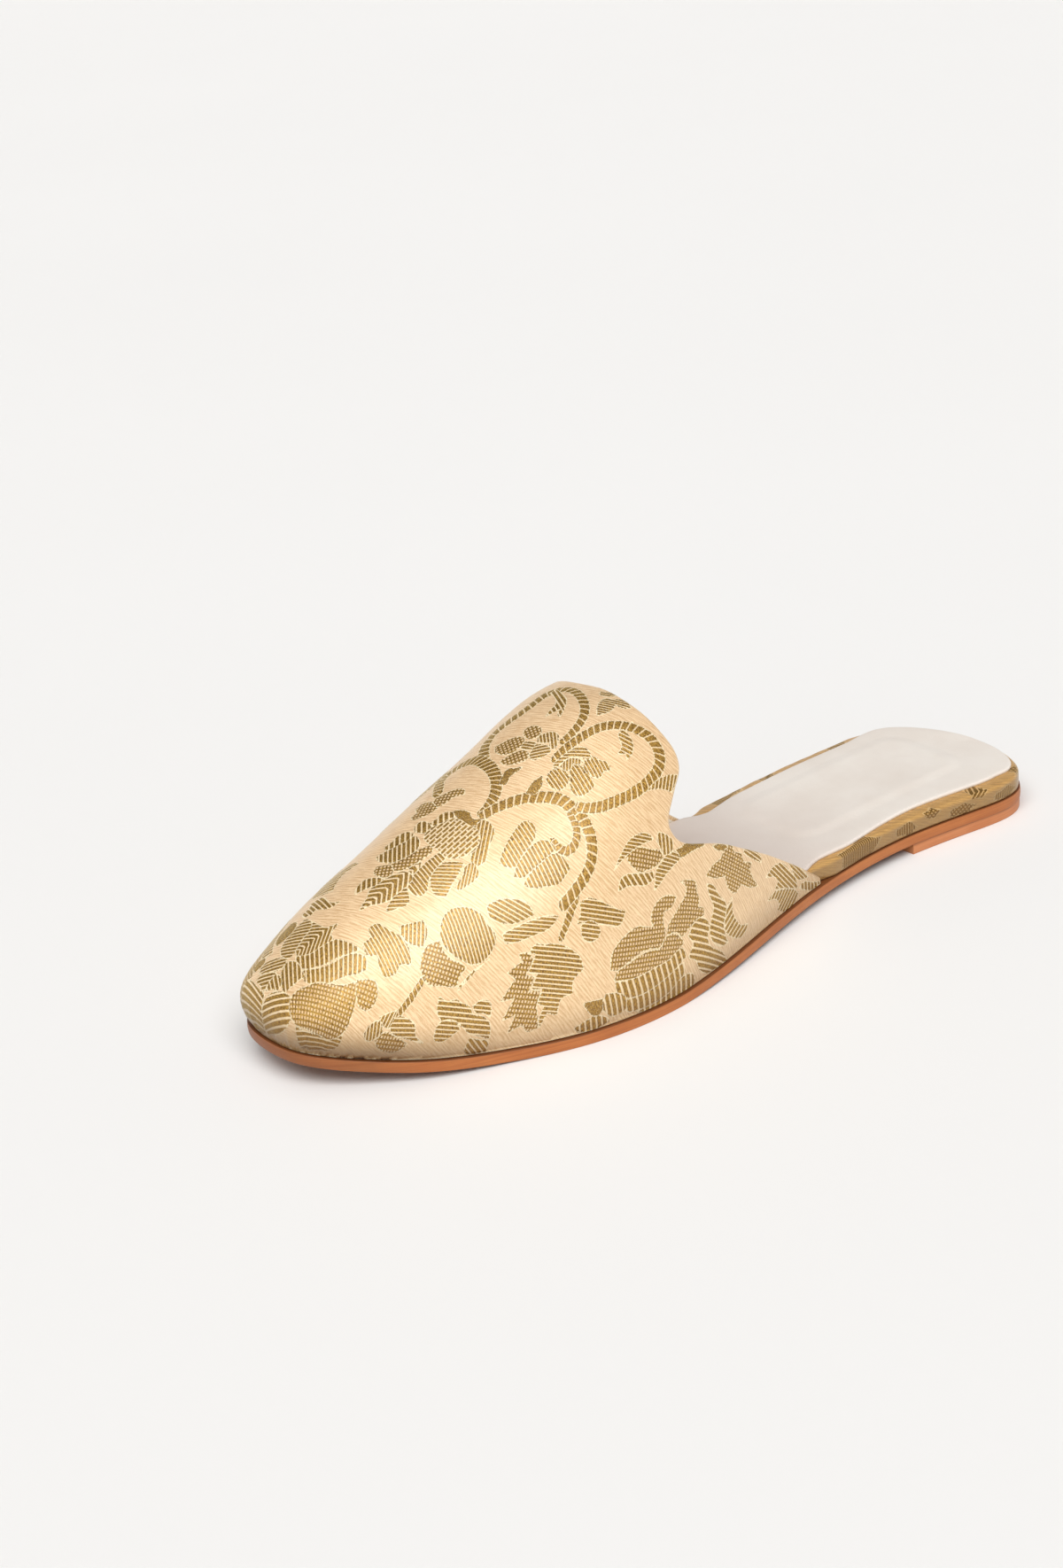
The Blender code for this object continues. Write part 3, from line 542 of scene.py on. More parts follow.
SIDE = (
    Vine("solid", 1, (1.9, 1.9, 1.6), (
        (-54.4, 140.5), (-54.2, 135), (-54.3, 131), (-54, 127.6))),
    Shape("rib", -50, 0.98, (
        (-55.6, 129.7), (-53.4, 129.2), (-52.4, 126.5), (-53.1, 124), (-53.9, 121), (-55.5, 119.9),
        (-57.7, 118.2), (-57.5, 120.4), (-56.7, 123), (-56.1, 126.5))),
    Shape("rib", 20, 1.3, (
        (-52.8, 127.6), (-50.6, 129.2), (-48.3, 128.1), (-46.2, 126), (-47.5, 124.4), (-49.6, 124.8),
        (-51.7, 124.9))),
    Shape("check", -50, 1.05, (
        (-52.4, 124.3), (-50.5, 124.3), (-48.7, 121.8), (-46.7, 119.6), (-45.3, 117), (-44.9, 113.2),
        (-47.4, 113.8), (-50.5, 115.3), (-52.1, 118.4), (-52.8, 121.4))),
    Shape("rib", -12, 1.5, (
        (-55.2, 119.1), (-53.7, 119.7), (-52.3, 117), (-50.7, 114.4), (-48.9, 111.4), (-48.5, 109.3),
        (-50.4, 107.1), (-51.3, 110.4), (-53.1, 113.4), (-54.8, 116))),
    Shape("rib", -50, 0.9, (
        (-46.6, 123.6), (-44.3, 122.2), (-42.9, 119.5), (-42.5, 116), (-43.5, 112.5), (-45.4, 108.2),
        (-44.8, 112), (-45, 116), (-45.6, 119.6))),
    Shape("rib", -50, 1.02, (
        (-57.7, 104.5), (-56.1, 107), (-54.4, 105.1), (-52, 103.2), (-49, 100.7), (-46.4, 98.1),
        (-45.5, 95.3), (-48, 94.3), (-49.5, 92.5), (-50.5, 94.6), (-52.4, 96.9), (-54.5, 99.6),
        (-56.7, 102))),
    Shape("rib", -50, 1.0, (
        (-56.2, 96.8), (-55, 97.9), (-53, 97.5), (-50.9, 95.5), (-50.6, 93.1), (-53, 92.6),
        (-55.2, 93.7))),
    Shape("rib", -50, 1.0, (
        (-60.4, 90.2), (-57, 90), (-54.5, 88.8), (-52, 87), (-49.7, 84.7), (-47.9, 82), (-46.2, 79.6),
        (-46.7, 77.5), (-48, 79.2), (-49.4, 77.6), (-50.8, 75.7), (-52.6, 78), (-55, 75.2), (-57, 78.2),
        (-59.4, 76), (-61.4, 77.6), (-63.6, 75.6), (-66, 75.1), (-63.5, 77.8), (-66, 80.4), (-63.1, 82.2),
        (-63.8, 85.7), (-61.1, 86.5))),
    Shape("check", -50, 1.05, (
        (-46.6, 77.1), (-45.1, 74.7), (-47.3, 75.2), (-46.8, 70.3), (-49.6, 71.9), (-51.7, 66.4),
        (-53.6, 70.3), (-56.5, 65.6), (-57.7, 69.5), (-60.8, 66.5), (-61.7, 70.5), (-64.6, 71.9),
        (-65.6, 74.6), (-62.6, 75.1), (-60, 75.3), (-57, 77.2), (-55, 74.2), (-52.8, 76.7), (-50.8, 74.6),
        (-48.8, 77.7))),
    Vine("bar", 1.4, (1.2, 1.6, 1.4), ((-50, 86), (-47.6, 89.4), (-45.2, 92.6), (-43.4, 96))),
    Shape("rib", -50, 0.9, (
        (-44.4, 88.2), (-42.5, 85.6), (-40.9, 82), (-39.3, 77.5), (-38, 72.8), (-40.2, 72.3), (-42.3, 76),
        (-43.9, 80.5), (-45.2, 85))),
    Shape("rib", -30, 1.0, (
        (-39.6, 82.2), (-36, 81.8), (-33, 79.1), (-30.4, 75.7), (-29.4, 72.2), (-32, 71.6), (-35, 73.4),
        (-37.7, 76.5))),
    Shape("rib", 8, 1.0, (
        (-37.3, 70.6), (-33, 70), (-29.3, 69.4), (-26, 67.1), (-23.8, 63.6), (-24.2, 60.3), (-27, 58),
        (-30, 57.5), (-33, 58.5), (-36, 60.3), (-38.7, 62.5), (-39.7, 66.6))),
    Shape("check", -40, 1.05, (
        (-40.6, 67.4), (-41.1, 62), (-41.9, 55.6), (-39, 57.2), (-38.1, 60.4), (-36.3, 59.3),
        (-33.4, 57.3), (-30.6, 56.5), (-27.8, 56.6), (-27, 53), (-29, 50.1), (-32, 49.1), (-35, 49.9),
        (-37.6, 53), (-40, 56), (-39.6, 62))),
    Shape("rib", 4, 0.95, (
        (-27.7, 47.6), (-23.4, 49), (-19.6, 48.4), (-16.6, 47), (-13.1, 45.7), (-12.5, 43.3),
        (-14.9, 42.5), (-14.7, 39.7), (-17.6, 39.1), (-19.6, 41.1), (-21.6, 40.4), (-24.9, 40.1),
        (-26.5, 43), (-25.8, 45.2))),
    Shape("rib", 35, 1.15, (
        (-26.1, 52.2), (-24.1, 55.2), (-21.1, 55.8), (-19.6, 53), (-17.9, 49.8), (-20.6, 49.2),
        (-23.5, 50))),
    Vine("bar", 1.3, (1.1, 1.4, 1.2), ((-32.4, 49.6), (-34, 45.6), (-35, 41.6), (-35.8, 38))),
    Shape("rib", -50, 1.12, (
        (-58.7, 61.3), (-54.6, 62), (-51.7, 60.5), (-49.5, 58.3), (-47, 57.8), (-44.7, 56), (-42.9, 54.8),
        (-42, 52.7), (-39.4, 51.1), (-42, 49.6), (-44.9, 50), (-46.5, 51.9), (-48.5, 53.9), (-50.7, 55.1),
        (-53.1, 56.2), (-55.6, 58.5))),
    Shape("rib", -50, 1.0, (
        (-53.2, 62.6), (-50.2, 63.5), (-48, 61.7), (-47.5, 58.8), (-49.3, 59.1), (-51.1, 61.2))),
    Shape("rib", -50, 1.0, (
        (-50.3, 53.9), (-48, 53.4), (-46, 51.4), (-45.2, 49.3), (-46.3, 47.7), (-48.2, 47.1),
        (-50.1, 48.7))),
    Shape("rib", -20, 1.2, (
        (-62.6, 60.2), (-59.4, 60.8), (-57, 58.4), (-54.8, 56.1), (-57.2, 54.6), (-60, 55.4))),
    Shape("rib", -50, 1.0, (
        (-46.9, 44), (-43.2, 42.4), (-40.8, 43), (-38.1, 41.6), (-35.6, 39.2), (-35.9, 36.8),
        (-38.4, 37.2), (-40.5, 38.7), (-43.1, 40.9))),
    Shape("rib", 60, 1.1, (
        (-36.4, 36.4), (-34.4, 39.9), (-33.2, 37.6), (-32.3, 35.2), (-34, 35.2))),
    Shape("rib", 30, 1.1, (
        (-36, 34.5), (-33.1, 34.8), (-31.8, 32.2), (-32.2, 29.8), (-34.3, 30), (-35.6, 32))),
    Shape("check", -45, 1.05, (
        (-44, 40), (-41, 38.3), (-38.8, 36.9), (-36.4, 35.1), (-36.4, 32.2), (-38.7, 32.4), (-41.5, 34.2),
        (-43.8, 36.5))),
    Shape("check", -60, 1.05, (
        (-70.3, 117.4), (-66, 118.3), (-64.3, 119.4), (-65, 121.8), (-63.8, 124.7), (-61.9, 122.4),
        (-61, 119.4), (-61.5, 116.3), (-63.3, 114.4), (-65.5, 114.5), (-64.3, 112.4), (-62.2, 109.6),
        (-61.4, 106), (-61.6, 102), (-62.9, 99.2), (-66, 97.8), (-67.4, 99.8), (-67.8, 103.6),
        (-68.2, 107.4), (-69.6, 111.6), (-71.5, 115))),
    Shape("check", -60, 1.05, (
        (-76.1, 123.6), (-74, 122.6), (-71.7, 120.6), (-70.9, 117.6), (-72.1, 115.2), (-70.3, 111.4),
        (-68.9, 107.2), (-68.3, 103.2), (-68, 99.4), (-69.2, 98.2), (-71.3, 101.2), (-73.5, 105.6),
        (-75.1, 111), (-76.9, 117))),
    Shape("check", -60, 1.05, (
        (-73.1, 133), (-71.4, 133.2), (-70.3, 131.4), (-68.4, 132.4), (-66, 132.2), (-63.5, 132.6),
        (-62.2, 130.6), (-61, 127.6), (-63, 129), (-64.9, 128.2), (-66.3, 125.4), (-67.5, 122.4),
        (-68.9, 119.3), (-70.6, 118.5), (-71.6, 121.6), (-74, 123.4), (-73.5, 127))),
    Shape("rib", -8, 1.9, (
        (-80.1, 123.6), (-77.1, 122.5), (-77, 117.4), (-75.4, 111.6), (-73.8, 106), (-71.8, 101.4),
        (-70, 98.4), (-73.4, 98.6), (-76.6, 101.6), (-78.7, 105.4), (-80.2, 110.4), (-80.8, 117))),
    Shape("rib", -8, 1.9, (
        (-84.8, 121.8), (-81.1, 122.5), (-81, 116.4), (-80.4, 110), (-78.8, 104.6), (-77, 101),
        (-80.5, 101.2), (-83.2, 105.4), (-85.2, 110.6), (-86.2, 116.6))),
    Shape("rib", -8, 1.9, (
        (-91, 126.6), (-87, 125.8), (-85, 121.6), (-86.4, 116), (-85.4, 110), (-83.4, 104.4),
        (-86.2, 108), (-88.6, 114), (-90.4, 120))),
    Shape("rib", -5, 1.6, (
        (-79.8, 100.6), (-76.2, 100.8), (-72.9, 98), (-71, 94.9), (-73.2, 93.5), (-76.1, 94.5),
        (-78.8, 96.5))),
    Shape("solid", 0, 1, (
        (-74.8, 93.2), (-71.5, 93.8), (-68.8, 88.2), (-72, 89.4), (-74.8, 91.4))),
    Shape("rib", -5, 1.6, (
        (-79.8, 95.6), (-77, 93.8), (-74.8, 91), (-74, 85), (-76.2, 86.2), (-78.8, 90.2))),
    Shape("rib", 58, 1.5, (
        (-85.2, 149), (-82.6, 151.4), (-81.8, 147.8), (-79.3, 145.8), (-76.6, 144.8), (-72.6, 145.6),
        (-75.3, 142.4), (-78.6, 141), (-81.5, 141.2), (-84, 144))),
    Shape("rib", -55, 1.5, (
        (-84.8, 141.5), (-82.2, 140.4), (-79, 140.2), (-76, 141.8), (-73.4, 142.4), (-70.5, 140.4),
        (-67, 138.8), (-65.8, 136.6), (-69, 136.8), (-72.6, 137.4), (-75.4, 135.8), (-78.6, 134.2),
        (-82.1, 135.2), (-84.4, 138))),
    Shape("rib", -55, 1.6, (
        (-90.4, 141.4), (-87.3, 139.2), (-85, 136.3), (-82.9, 133.8), (-79.8, 132.8), (-76.6, 134.2),
        (-73.8, 132.5), (-73.2, 129.6), (-75.4, 125.8), (-78.4, 127.4), (-81, 124.7), (-83.7, 127.4),
        (-87.2, 128.8), (-90.4, 132.6))),
    Shape("check", -55, 1.05, (
        (-73, 157.8), (-72.1, 153.6), (-70.5, 150.6), (-71.8, 146.9), (-69.1, 144.6), (-66, 144.4),
        (-65.5, 141), (-63.6, 137.2), (-61.9, 140.6), (-61, 144.3), (-59, 147), (-58.2, 150.6),
        (-60.8, 150.2), (-62.3, 153), (-64.5, 153.4), (-65.8, 156.7), (-67.8, 155.4), (-70, 156))),
    Shape("rib", -50, 1.2, (
        (-67, 161.2), (-65.6, 158.8), (-64, 156.4), (-62.3, 154.2), (-60.8, 155.8), (-62.7, 159),
        (-64.6, 161))),
    Shape("solid", 0, 1, (
        (-58.7, 148.6), (-57.3, 146), (-56.9, 142.3), (-58.3, 143.7), (-59.1, 146))),
    Shape("rib", 45, 1.3, (
        (-84.8, 171), (-83.7, 175), (-81, 177.4), (-79.3, 175.2), (-77.9, 170.4), (-77.3, 166),
        (-78.8, 162), (-79.5, 166), (-81.6, 167.8), (-83.1, 167))),
    Shape("rib", -45, 1.3, (
        (-79.2, 177), (-76.4, 176.6), (-73.5, 174.2), (-70.4, 171.5), (-69.6, 167.6), (-71.8, 162.2),
        (-72.7, 166.4), (-74.6, 168.2), (-76.4, 166), (-77.3, 170.6))),
    Shape("rib", -45, 1.1, (
        (-77.2, 182.6), (-75, 180.6), (-72.5, 177.6), (-70.1, 174), (-73.6, 175.4), (-76.7, 177.8))),
    Shape("rib", 0, 1.6, (
        (-80.5, 188.4), (-79.5, 184), (-78.4, 180), (-79.6, 178.2), (-81.1, 181.6), (-81.7, 186))),
)

MEDIAL_AXIS_MM = -5.0      # the side sprays repeat about this line on the medial side
MEDIAL_START_MM = 15.0     # and are kept where they lie beyond this
TOE_AXIS_MM = 1.0          # the toe flower's outer petals repeat about this line
TOE_REPEATED = (4, 12, 13, 14)
VINE_FULLNESS = 1.65       # thread stands out past a vine's drawn width
EASE_MM = 0.26             # and past a shape's drawn outline
SHARP_TURN = 1.25          # radians; an outline turning more at a point has a corner there
VINE_TIP = 0.4             # a vine's ends are this share of its width
VINE_SLANT = 0.35          # and its bars lean over by this slope


def mirrored(shape, axis):
    """The shape on the other side of a line along the shoe."""
    points = tuple((2 * axis - across, along) for across, along in shape.points)
    if isinstance(shape, Vine):
        return shape._replace(points=points)
    return shape._replace(points=points, angle=180 - shape.angle)


def left_of(run):
    """Directions a quarter turn to the left of the given ones."""
    return np.column_stack((-run[:, 1], run[:, 0]))


def doubled_area(loop):
    """Twice the area inside a closed loop, negative for a clockwise one."""
    after = np.roll(loop, -1, axis=0)
    return (loop[:, 0] * after[:, 1] - loop[:, 1] * after[:, 0]).sum()


def hermite(start, end, out_slope, in_slope, steps):
    """Points of a smooth arc, without its end."""
    t = (np.arange(steps) / steps)[:, None]
    return ((2 * t ** 3 - 3 * t ** 2 + 1) * start + (t ** 3 - 2 * t ** 2 + t) * out_slope
            + (3 * t ** 2 - 2 * t ** 3) * end + (t ** 3 - t ** 2) * in_slope)


def closed_outline(points):
    """A closed curve through the points, smooth except where it turns sharply."""
    points = np.array(points, float)
    before = points - np.roll(points, 1, axis=0)
    after = np.roll(before, -1, axis=0)
    before_unit, after_unit = unit(before), unit(after)
    bend = np.arccos(np.clip((before_unit * after_unit).sum(axis=1), -1, 1))
    mean = unit(before_unit + after_unit)
    sharp = (bend > SHARP_TURN)[:, None]
    leave = np.where(sharp, after_unit, mean)
    arrive = np.where(sharp, before_unit, mean)
    arcs = []
    for i in range(len(points)):
        k = (i + 1) % len(points)
        length = np.linalg.norm(after[i])
        steps = max(2, int(round(length / OUTLINE_STEP_MM)))
        arcs.append(hermite(points[i], points[k], leave[i] * length, arrive[k] * length, steps))
    return eased(np.concatenate(arcs))


def eased(loop):
    """A closed loop moved outwards a little."""
    run = unit(np.roll(loop, -1, axis=0) - np.roll(loop, 1, axis=0))
    return loop - left_of(run) * np.sign(doubled_area(loop)) * EASE_MM


def vine_line(vine):
    """The middle of a vine as closely spaced points, and its half width at each."""
    points = np.array(vine.points, float)
    knots = chord_knots(points)
    at = np.arange(0, knots[-1], 2 * OUTLINE_STEP_MM)
    line = spline(knots, points, at)
    share = at / knots[-1]
    return line, np.interp(share, (0, 0.5, 1), vine.width) / 2 * VINE_FULLNESS


def vine_outline(vine):
    """A closed outline round a vine, its ends drawn in."""
    line, half = vine_line(vine)
    half[[0, -1]] *= VINE_TIP
    reach = left_of(unit(np.gradient(line, axis=0))) * half[:, None]
    return np.concatenate((line + reach, (line - reach)[::-1]))


def outline_of(shape):
    return vine_outline(shape) if isinstance(shape, Vine) else closed_outline(shape.points)


def vine_lay(vine, places):
    """Distances of places across a vine's slanting bars and aside from the vine's middle."""
    line = vine_line(vine)[0]
    nearest = np.linalg.norm(places[:, None] - line[None], axis=2).argmin(axis=1)
    run = unit(np.gradient(line, axis=0))[nearest]
    offset = places - line[nearest]
    aside = (offset * left_of(run)).sum(axis=1)
    along = chord_knots(line)[nearest] + (offset * run).sum(axis=1)
    return along + VINE_SLANT * aside, aside


def lay_of(shape, places):
    """Weave coordinates of places inside a shape, in pitches: across the ribs, along them."""
    if isinstance(shape, Vine):
        return np.column_stack(vine_lay(shape, places)) / shape.pitch
    angle = np.radians(shape.angle)
    axis = np.array([[np.cos(angle), np.sin(angle)]])
    if shape.weave == "chevron":
        offset = places - np.mean(shape.points, axis=0)
        aside = np.abs(offset @ left_of(axis)[0])
        return np.column_stack((offset @ axis[0] + aside, aside)) / shape.pitch
    return np.column_stack((places @ left_of(axis)[0], places @ axis[0])) / shape.pitch


def distance_to(outline, places):
    """Distance from places to a closed outline."""
    start = outline[None]
    run = np.roll(outline, -1, axis=0)[None] - start
    offset = places[:, None] - start
    share = np.clip((offset * run).sum(axis=2) / ((run ** 2).sum(axis=2) + TINY), 0, 1)
    return np.linalg.norm(offset - run * share[:, :, None], axis=2).min(axis=1)


def all_shapes():
    """Every woven shape of the upper; later ones lie over earlier ones."""
    repeated = [mirrored(shape, MEDIAL_AXIS_MM) for shape in SIDE + TONGUE]
    kept = [shape for shape in repeated if min(shape.points)[0] > MEDIAL_START_MM]
    petals = [mirrored(TOE[i], TOE_AXIS_MM) for i in TOE_REPEATED]
    return kept + petals + list(SIDE + TOE + FLOWER + TONGUE)


# Shares of ribs, check, solid thread and flecks in each kind of weave; bars are ribs and solid.
WEAVES = {
    "rib": (1, 0, 0, 0),
    "chevron": (1, 0, 0, 0),
    "check": (0, 1, 0, 0),
    "solid": (0, 0, 1, 0),
    "bar": (1, 0, 1, 0),
    "fleck": (0, 0, 0, 1),
}


# ---------------------------------------------------------------- brocade mesh
ROLL_STEPS = 6             # faces round the turned edge
ROLL_ENDS = (12, 0.35)     # steps over which it grows at each end of the topline, and from what share
TURN_IN_ROWS_MM = (0.5, 1.3)
TUCK_ROWS_MM = ((0.1, 0.15), (0.5, 0.3), (1.4, 0.3), (3.0, 0.3))
INNER_MM = 0.55            # depth of the extra points inside a woven shape
INNER_SHARE = 0.7          # kept where at least this share of the depth is there
EDGE_CLEAR_MM = 0.5        # loose points keep this far from the cloth's edges
ROW_RISE = 0.866           # rows of the mesh lie this many steps apart, for even triangles
MERGE_MM = 1e-4            # points nearer than this are one
ON_EDGE_MM = 0.002
RELIEF = 0.00007           # woven shapes stand proud of the satin
RELIEF_EDGE_MM = 0.5       # rising over this distance from their outline
FAR_MM = 6.0               # shapes further away than this don't reach a place
UV_START_MM = (UV_SPAN_MM / 2, 7)
TOE_SHADE_MM = (25, 75)    # along the shoe, the painted shade low on the wall weakens between these


def inside(loop, places):
    """Whether places lie inside a closed loop."""
    x, y = places[:, :1], places[:, 1:]
    x0, y0 = loop[:, 0], loop[:, 1]
    x1, y1 = np.roll(x0, -1), np.roll(y0, -1)
    crosses = (y0 > y) != (y1 > y)
    with np.errstate(divide="ignore", invalid="ignore"):
        reach = x0 + (y - y0) * (x1 - x0) / (y1 - y0)
    return (crosses & (x < reach)).sum(axis=1) % 2 == 1


def within_box(outline, places, margin):
    """Whether places lie in the box round an outline, with a margin."""
    low, high = outline.min(axis=0) - margin, outline.max(axis=0) + margin
    return ((places > low) & (places < high)).all(axis=1)


class Edge:
    """A line across the flat pattern at which the brocade leaves the outside of the form."""

    def __init__(self, form, flat, ahead_along):
        self.flat = flat
        aside = left_of(unit(np.gradient(flat, axis=0)))
        self.outward = aside * np.sign(aside[len(flat) // 2, 1]) * ahead_along
        self.point = form.place(flat)
        self.normal = form.normal(flat)
        along = unit(np.gradient(self.point, axis=0))
        self.ahead = np.cross(self.normal, along)
        beyond = form.place(flat + self.outward) - form.place(flat - self.outward)
        self.ahead *= np.sign((self.ahead * beyond).sum())
        inward = np.column_stack((left_of(along), np.zeros(len(flat))))
        self.inward = unit(inward) * -np.sign((inward * self.normal).sum())

    def nearest(self, places):
        """For each place: index of the nearest point, share to the next one, signed distance."""
        best = np.full(len(places), np.inf)
        index = np.zeros(len(places), int)
        share = np.zeros(len(places))
        run = np.diff(self.flat, axis=0)
        length = (run ** 2).sum(axis=1)
        for i in range(len(run)):
            t = np.clip(((places - self.flat[i]) @ run[i]) / length[i], 0, 1)
            gap = np.linalg.norm(places - self.flat[i] - t[:, None] * run[i], axis=1)
            closer = gap < best
            best[closer] = gap[closer]
            index[closer] = i
            share[closer] = t[closer]
        side = ((places - self.flat[index]) * self.outward[index]).sum(axis=1)
        return index, share, best * np.sign(side)

    def read(self, table, at):
        """Values of a table along the edge; at counts points from the start."""
        knots = np.arange(len(table))
        return np.column_stack([np.interp(at, knots, table[:, axis]) for axis in range(table.shape[1])])


def topline_edge(form):
    """The line where the brocade starts to turn over, so that the turned edge ends at the topline."""
    top = topline_flat(form, EDGE_STEPS)
    end_steps, end_share = ROLL_ENDS
    from_end = np.minimum(np.arange(EDGE_STEPS), np.arange(EDGE_STEPS)[::-1]) / end_steps
    sink = EDGE_ROLL / MM * np.interp(from_end, (0, 1), (end_share, 1))
    return Edge(form, top - left_of(unit(np.gradient(top, axis=0))) * sink[:, None], 1)


def turned_rows(edge, at):
    """Rows of points round the topline and down inside, with their flat places."""
    point, normal, ahead = (edge.read(table, at) for table in (edge.point, edge.normal, edge.ahead))
    flat, outward = edge.read(edge.flat, at), edge.read(edge.outward, at)
    rows = []
    for k in range(1, ROLL_STEPS + 1):
        angle = np.pi * k / ROLL_STEPS
        place = point - normal * EDGE_ROLL * (1 - np.cos(angle)) + ahead * EDGE_ROLL * np.sin(angle)
        rows.append((place, flat + outward * angle * EDGE_ROLL / MM))
    for run in TURN_IN_ROWS_MM:
        place = point - normal * 2 * EDGE_ROLL - ahead * run * MM
        rows.append((place, flat + outward * (np.pi * EDGE_ROLL / MM + run)))
    return rows


def tucked_rows(edge, at):
    """Rows of points under the feather edge, drawn in over the insole."""
    point, inward = edge.read(edge.point, at), edge.read(edge.inward, at)
    flat, outward = edge.read(edge.flat, at), edge.read(edge.outward, at)
    rows = []
    for run, drop in TUCK_ROWS_MM:
        place = point + inward * run * MM - np.array([0, 0, drop * MM])
        rows.append((place, flat + outward * (run + drop)))
    return rows


def mesh_object(name, vertices, faces, material):
    mesh = bpy.data.meshes.new(name)
    mesh.from_pydata([tuple(v) for v in vertices], [], [tuple(f) for f in faces])
    mesh.shade_smooth()
    mesh.materials.append(material)
    made = bpy.data.objects.new(name, mesh)
    bpy.context.scene.collection.objects.link(made)
    return made


def corner_values(mesh, name, *columns):
    """Stores a vector, or with four columns a colour, for each face corner."""
    values = np.column_stack(columns).astype(np.float32)
    kind, field = ("FLOAT_COLOR", "color") if values.shape[1] == 4 else ("FLOAT_VECTOR", "vector")
    mesh.attributes.new(name, kind, "CORNER").data.foreach_set(field, values.ravel())


def paint(mesh, lay, kind, flat, level, strength):
    """Stores what the brocade's material reads: the lay and kind of weave at each corner, its place
    on the flat cloth, and its height above the foot of the wall with how far the painted shade there goes."""
    corners = np.array([corner.vertex_index for corner in mesh.loops])
    nought = np.zeros(len(corners))
    corner_values(mesh, "lay", lay)
    corner_values(mesh, "weave", kind)
    corner_values(mesh, "cloth", flat[corners], nought)
    corner_values(mesh, "foot", level[corners], strength[corners], nought)
    return corners


def cut_weave(shapes, outlines, faces, owner, flat):
    """Corner values for faces cut along the shapes: lay (across the ribs, along them, distance
    inside) and kind of weave."""
    lay = np.zeros((len(faces), 3, 3))
    kind = np.zeros((len(faces), 3, 4))
    lay[:, :, 2] = -1
    for number, (shape, outline) in enumerate(zip(shapes, outlines), 1):
        mine = np.flatnonzero(owner == number)
        if len(mine) == 0:
            continue
        places = flat[faces[mine].ravel()]
        values = np.column_stack((lay_of(shape, places), distance_to(outline, places)))
        lay[mine] = values.reshape(-1, 3, 3)
        kind[mine] = WEAVES[shape.weave]
    return lay.reshape(-1, 3), kind.reshape(-1, 4)


def laid_weave(shapes, outlines, faces, flat):
    """Corner values for faces that aren't cut along the shapes; each takes its nearest shape."""
    depth = np.full((len(shapes), len(flat)), -FAR_MM)
    for number, outline in enumerate(outlines):
        near = np.flatnonzero(within_box(outline, flat, FAR_MM))
        if len(near):
            sign = np.where(inside(outline, flat[near]), 1, -1)
            depth[number, near] = sign * distance_to(outline, flat[near])
    lay, kind = [], []
    for face in faces:
        corners = list(face)
        best = int(depth[:, corners].mean(axis=1).argmax())
        values = lay_of(shapes[best], flat[corners])
        lay += [(*value, deep) for value, deep in zip(values, depth[best, corners])]
        kind += [WEAVES[shapes[best].weave]] * len(corners)
    return np.array(lay), np.array(kind)


def cloth_grid(loop):
    """Staggered places inside a loop."""
    step = CLOTH_STEP_MM
    low = loop.min(axis=0)
    high = loop.max(axis=0)
    rows = np.arange(low[1], high[1], step * ROW_RISE)
    columns = np.arange(low[0], high[0], step)
    across, along = np.meshgrid(columns, rows)
    across = across + (np.arange(len(rows)) % 2)[:, None] * step / 2
    places = np.column_stack((across.ravel(), along.ravel()))
    return places[inside(loop, places)]


def inner_points(outline):
    """Places a little inside an outline, so that the distance from it is well kept."""
    aside = left_of(unit(np.roll(outline, -1, axis=0) - np.roll(outline, 1, axis=0)))
    places = np.concatenate([outline + side * INNER_MM * aside for side in (1, -1)])[::2]
    places = places[inside(outline, places)]
    return places[distance_to(outline, places) > INNER_MM * INNER_SHARE]


def anticlockwise(loop):
    return loop if doubled_area(loop) > 0 else loop[::-1]


def loose_points(top, foot, loop, outlines):
    """Places of the cloth's mesh that lie on no outline, clear of the cloth's edges."""
    inner = np.concatenate([inner_points(outline) for outline in outlines])
    places = np.concatenate((cloth_grid(loop), inner[inside(loop, inner)]))
    clear = [edge.nearest(places)[2] < -EDGE_CLEAR_MM for edge in (top, foot)]
    return places[clear[0] & clear[1]]


def owners(outlines, middles):
    """For each place the number of the last outline round it, from 1, or 0 for none."""
    owner = np.zeros(len(middles), int)
    for number, outline in enumerate(outlines, 1):
        near = np.flatnonzero(within_box(outline, middles, 0))
        owner[near[inside(outline, middles[near])]] = number
    return owner


def woven_cloth(top, foot, outlines):
    """Flat triangles of the outside brocade, cut along every woven shape."""
    loop = anticlockwise(np.concatenate((top.flat, foot.flat[::-1])))
    rings = [loose_points(top, foot, loop, outlines), loop]
    rings += [anticlockwise(outline) for outline in outlines]
    starts = np.cumsum([len(ring) for ring in rings])
    loops = [list(range(start, start + len(ring))) for start, ring in zip(starts, rings[1:])]
    points = [Vector(point) for point in np.concatenate(rings)]
    made = delaunay_2d_cdt(points, [], loops, 0, MERGE_MM)
    flat = np.array([tuple(point) for point in made[0]])
    faces = np.array(made[2])
    faces = faces[inside(loop, flat[faces].mean(axis=1))]
    owner = owners(outlines, flat[faces].mean(axis=1))
    used, faces_in_used = np.unique(faces, return_inverse=True)
    return flat[used], faces_in_used.reshape(-1, 3), owner


def add_rows(edge, rows_of, flat, points):
    """Adds the rows past an edge of the cloth to its flat places and points, and makes their faces."""
    index, share, distance = edge.nearest(flat)
    on_edge = np.flatnonzero(np.abs(distance) < ON_EDGE_MM)
    at = (index + share)[on_edge]
    last = on_edge[np.argsort(at)]
    added = []
    for place, row_flat in rows_of(edge, np.sort(at)):
        row = np.arange(len(points), len(points) + len(at))
        added += list(zip(last, last[1:], row[1:], row))
        flat = np.concatenate((flat, row_flat))
        points = np.concatenate((points, place))
        last = row
    return flat, points, added


